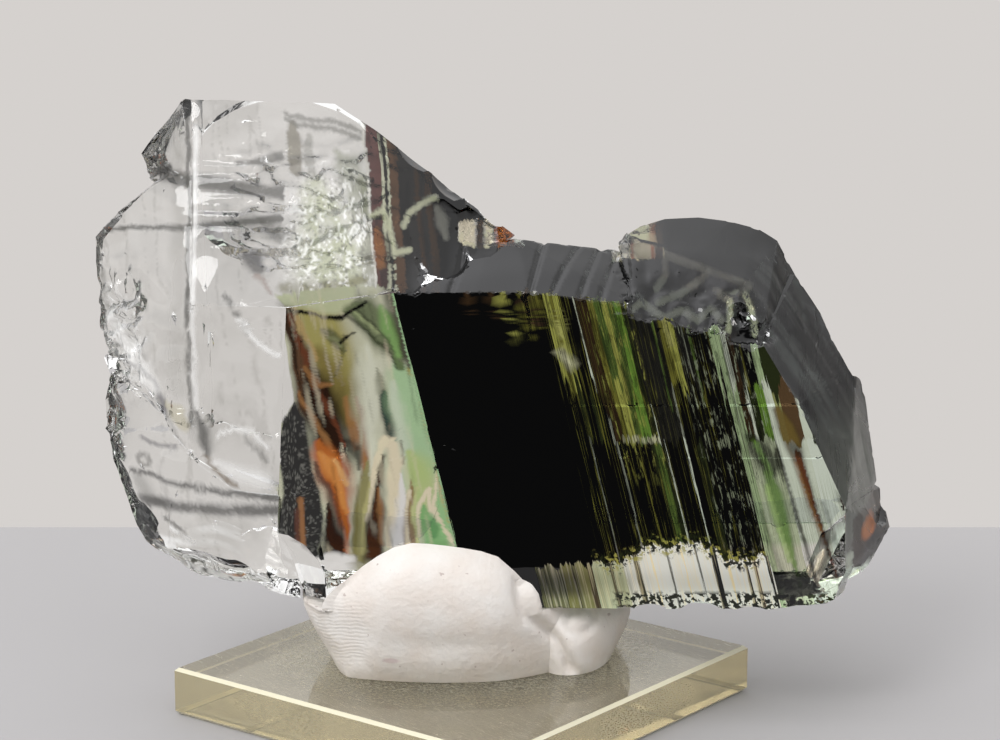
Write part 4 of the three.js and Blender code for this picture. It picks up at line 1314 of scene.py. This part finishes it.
def putty_finish(size):
    made, nodes, shader = material("putty", Roughness=0.55, IOR=1.45)
    at, x, y, z = nodes.place()
    mottled = nodes.noise(at, 0.22, 3.0)
    warm = tuple(c * k for c, k in zip(size.colour, (0.94, 0.90, 0.87)))
    colour = nodes.mix(size.colour, warm, mottled.above(0.5, 0.3))
    speck = nodes.noise(at, 1.1, 2.0)
    colour = nodes.mix(colour, (0.45, 0.36, 0.33), speck.above(0.735, 0.03) * 0.7)
    stain = ((x + 8.6) / 1.1) ** 2.0 + ((z - 8.9) / 0.35) ** 2.0
    colour = nodes.mix(colour, (0.45, 0.22, 0.26), stain.below(0.8, 0.9) * 0.3 * y.below(0.0, 1.0))
    nodes.feed(shader, "Base Color", colour)
    print_area = x.below(-11.6, 1.6) * z.within(8.0, 15.5, 2.0) * y.below(4.0, 2.0)
    wobble = nodes.noise(at, 0.4, 1.0)
    ridges = nodes.math("SINE", (z - x * 0.16 + wobble * 1.2) * (math.tau / 0.47), 0.0)
    height = nodes.noise(at, 1.3, 4.0) * 0.14 + ridges * print_area * 0.013
    bump = nodes.add("ShaderNodeBump", Height=height, Distance=0.001, Strength=0.8)
    nodes.feed(shader, "Normal", bump.outputs[0])
    return made


def press_putty(place, normals):
    """Flattens the left end, folds the right end over and dents the lump."""
    x, y, z = (place / MM).T
    out = place.copy()
    share = np.interp(x, *zip(*PUTTY_TOP)) - 0.3 * smooth_step(y, 3, 8)
    out[:, 2] = (6 + (z - 6) * (1 - (1 - share) * smooth_step(z, 8, 17))) * MM
    lift = np.zeros(len(place))
    front = smooth_step(-normals[:, 1], 0.0, 0.5)
    facet = smooth_step(-x, 9.5, 13) * front * smooth_step(z, 6.3, 9)
    lift -= facet * 0.7 * (1 - np.abs(z - 12) / 12)
    crease = x - np.interp(z, *zip(*PUTTY_CREASE))
    lift -= front * np.exp(-(crease / 0.7) ** 2) * 0.9
    lift += front * np.exp(-((crease - 1.6) / 1.3) ** 2) * 0.25
    fold = np.hypot(x - 14.2, (z - 12.4) * 1.3)
    lift -= front * np.exp(-((fold - 1.6) / 0.45) ** 2) * 0.5
    lift += folds(place, 77, 5, 16 * MM, 6 * MM) * 0.12
    lift -= front * np.exp(-(((x + 2) / 7) ** 2 + ((z - 11) / 1.6) ** 2)) * 0.3
    return out + normals * (np.clip(lift, -1.2, 0.25) * smooth_step(z, 6.0, 7.0) * MM)[:, None]


class SPECIMEN_OT_putty(Operator):
    """Presses the putty's folds, dents and finger marks"""

    bl_idname = "specimen.putty"
    bl_label = "Putty"

    def execute(self, context):
        size = context.scene.specimen_putty
        bm = node_copy("putty")
        mark_sharp(bm, 50)
        refine(bm, 0.8 * MM)
        put_back(bm, relax(bm, 12))
        bm.normal_update()
        place = np.array([v.co for v in bm.verts])
        normals = np.array([v.normal for v in bm.verts])
        put_back(bm, press_putty(place, normals))
        mesh = bpy.data.meshes.new("putty_lump")
        bm.to_mesh(mesh)
        bm.free()
        piece = add_object("putty_lump", mesh, putty_finish(size))
        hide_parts("putty")
        return {"FINISHED"}


# ---- the plate -----------------------------------------------------------------------------------


class PlateSize(PropertyGroup):
    tint: FloatVectorProperty(
        name="Tint", description="Colour of the acrylic", subtype="COLOR", default=(0.95, 0.90, 0.75)
    )


ACRYLIC_IOR = 1.49


def acrylic_finish(size):
    made, nodes, shader = material("acrylic", Transmission_Weight=1.0, IOR=ACRYLIC_IOR)
    _, x, y, z = nodes.place()
    _, _, nz = nodes.normal()
    wall = abs(nz).below(0.3, 0.1)
    glint = abs(nz).within(0.3, 0.95, 0.1)
    away = ((x / 19.5) ** 2.0 + ((y - 3.0) / 14.0) ** 2.0) ** 0.5
    dust = nodes.noise(nodes.join(x * 2.2 + y * 0.8, y * 2.0, z), 1.0, 3.0, 0.75)
    dusty = dust.above(0.53, 0.06) * away.below(1.22, 0.35) * nz.above(0.9, 0.05)
    scratch = nodes.noise(nodes.join(x * 1.5 + y * 1.2, x * 0.06 - y * 0.07, 0.0), 1.0, 2.0, 0.7)
    worn = scratch.within(0.497, 0.503, 0.004) * nz.above(0.9, 0.05)
    colour = nodes.mix(size.tint, (0.86, 0.70, 0.36), wall)
    colour = nodes.mix(colour, (0.30, 0.27, 0.22), dusty * 0.6)
    nodes.feed(shader, "Base Color", colour)
    nodes.feed(shader, "Roughness", (worn * 0.4 + dusty * 0.5 + 0.02).clip())
    # a pale rough shader: real frosting on the walls, scratches and dust, and painted glints on the bevels
    frost_and_glint_shader = nodes.add(
        "ShaderNodeBsdfPrincipled", Base_Color=(0.93, 0.88, 0.66, 1.0), Roughness=0.3, IOR=ACRYLIC_IOR
    )
    pale = glint * 0.75 + wall * 0.22 + worn * 0.35 + dusty * 0.25
    return blend_over(made, nodes, shader, frost_and_glint_shader, pale)


class SPECIMEN_OT_plate(Operator):
    """Gives the acrylic plate its polished, slightly worn finish"""

    bl_idname = "specimen.plate"
    bl_label = "Plate"

    def execute(self, context):
        size = context.scene.specimen_plate
        bm = node_copy("base_plate")
        middle = sum((v.co.z for v in bm.verts)) / len(bm.verts)
        for vert in bm.verts:
            vert.co.z = middle + (vert.co.z - middle) * 0.98
        mesh = bpy.data.meshes.new("acrylic_plate")
        bm.to_mesh(mesh)
        bm.free()
        piece = add_object("acrylic_plate", mesh, acrylic_finish(size))
        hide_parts("base_plate")
        return {"FINISHED"}


# ---- the stage -----------------------------------------------------------------------------------


class StageSize(PropertyGroup):
    backdrop: FloatVectorProperty(
        name="Backdrop", description="Colour behind the object", subtype="COLOR",
        default=(0.665, 0.638, 0.617),
    )
    floor: FloatVectorProperty(
        name="Floor", description="Colour of the floor", subtype="COLOR", default=(0.36, 0.35, 0.35)
    )


CAMERA_PLACE = (0.0044, -0.3735, 0.131)
CAMERA_PITCH = 13.4  # degrees down
CAMERA_FOCAL = 3.2  # focal length as a share of the frame's width
FLOOR_EDGE = 0.077


def studio_world(size):
    """Soft light all round: a pale wall, bright overhead, a dim screen on the camera's side."""
    world = bpy.data.worlds.new("studio")
    bpy.context.scene.world = world
    world.use_nodes = True
    nodes = Nodes(world.node_tree)
    direction = nodes.add("ShaderNodeTexCoord").outputs["Generated"]
    split = nodes.add("ShaderNodeSeparateXYZ", i0=direction)
    x, y, z = [Signal(nodes, out) for out in split.outputs]
    screen = y.below(-0.72, 0.3) * z.within(-0.4, 0.42, 0.15)
    colour = nodes.mix(size.backdrop, (0.16, 0.16, 0.16), abs(x).within(0.72, 0.93, 0.1) * y.above(-0.2, 0.2))
    colour = nodes.mix(colour, (0.42, 0.41, 0.4), z.below(-0.55, 0.5))
    colour = nodes.mix(colour, (0.08, 0.08, 0.082), screen)
    colour = nodes.mix(colour, (1.15, 1.15, 1.16), z.within(0.3, 2.0, 0.3) * (1.0 - screen))
    colour = nodes.mix(colour, (1.3, 1.3, 1.3), x.below(-0.85, 0.2) * z.above(-0.1, 0.2))
    colour = nodes.mix(colour, (2.3, 2.3, 2.36), z.above(0.8, 0.25) * x.below(0.1, 0.5))
    light = nodes.add("ShaderNodeBackground", Color=colour)
    out = nodes.add("ShaderNodeOutputWorld")
    world.node_tree.links.new(light.outputs[0], out.inputs[0])


def soft_light(name, place, target, width, power, colour=(1, 1, 1)):
    data = bpy.data.lights.new(name, "AREA")
    data.shape = "SQUARE"
    data.size = width
    data.energy = power
    data.color = colour
    lamp = bpy.data.objects.new(name, data)
    lamp.location = place
    lamp.rotation_euler = (Vector(target) - Vector(place)).to_track_quat("-Z", "Y").to_euler()
    bpy.context.scene.collection.objects.link(lamp)


class SPECIMEN_OT_stage(Operator):
    """Sets the floor, the lights and the camera"""

    bl_idname = "specimen.stage"
    bl_label = "Stage"

    def execute(self, context):
        size = context.scene.specimen_stage
        context.scene.view_settings.view_transform = "Standard"
        studio_world(size)
        floor_finish, nodes, shader = material("floor", Roughness=0.9)
        nodes.feed(shader, "Base Color", (*size.floor, 1.0))
        mesh = bpy.data.meshes.new("floor")
        far, wide = 0.5, 1.2
        corners = [(-wide, -far, 0), (wide, -far, 0), (wide, FLOOR_EDGE, 0), (-wide, FLOOR_EDGE, 0)]
        mesh.from_pydata(corners, [], [(0, 1, 2, 3)])
        mesh.materials.append(floor_finish)
        floor = bpy.data.objects.new("floor", mesh)
        context.scene.collection.objects.link(floor)
        soft_light("front_light", (-0.35, -0.45, 0.62), (0, 0, 0.04), 0.3, 2.2)
        data = bpy.data.cameras.new("camera")
        data.sensor_width = 36
        data.lens = 36 * CAMERA_FOCAL
        camera = bpy.data.objects.new("camera", data)
        camera.location = CAMERA_PLACE
        camera.rotation_euler = (math.radians(90 - CAMERA_PITCH), 0, 0)
        context.scene.collection.objects.link(camera)
        context.scene.camera = camera
        return {"FINISHED"}


# ---- add-on --------------------------------------------------------------------------------------


class SPECIMEN_PT_panel(Panel):
    """Lists the steps that finish the specimen"""

    bl_idname = "SPECIMEN_PT_panel"
    bl_label = "Glass specimen"
    bl_space_type = "VIEW_3D"
    bl_region_type = "UI"
    bl_category = "Specimen"

    def draw(self, context):
        for group in (PlateSize, PuttySize, CrystalSize, StageSize):
            owner = getattr(context.scene, SETTINGS[group])
            for key in group.__annotations__:
                self.layout.prop(owner, key)
        for step in STEPS:
            self.layout.operator(step.bl_idname)


SETTINGS = {
    PlateSize: "specimen_plate",
    PuttySize: "specimen_putty",
    CrystalSize: "specimen_crystal",
    StageSize: "specimen_stage",
}
STEPS = (SPECIMEN_OT_stage, SPECIMEN_OT_plate, SPECIMEN_OT_putty, SPECIMEN_OT_crystal)


def register():
    for group, name in SETTINGS.items():
        bpy.utils.register_class(group)
        setattr(bpy.types.Scene, name, PointerProperty(type=group))
    for item in (*STEPS, SPECIMEN_PT_panel):
        bpy.utils.register_class(item)


def unregister():
    for item in (SPECIMEN_PT_panel, *reversed(STEPS)):
        bpy.utils.unregister_class(item)
    for group, name in SETTINGS.items():
        delattr(bpy.types.Scene, name)
        bpy.utils.unregister_class(group)


def main():
    register()
    for step in STEPS:
        category, name = step.bl_idname.split(".")
        getattr(getattr(bpy.ops, category), name)()


if __name__ == "__main__":
    main()
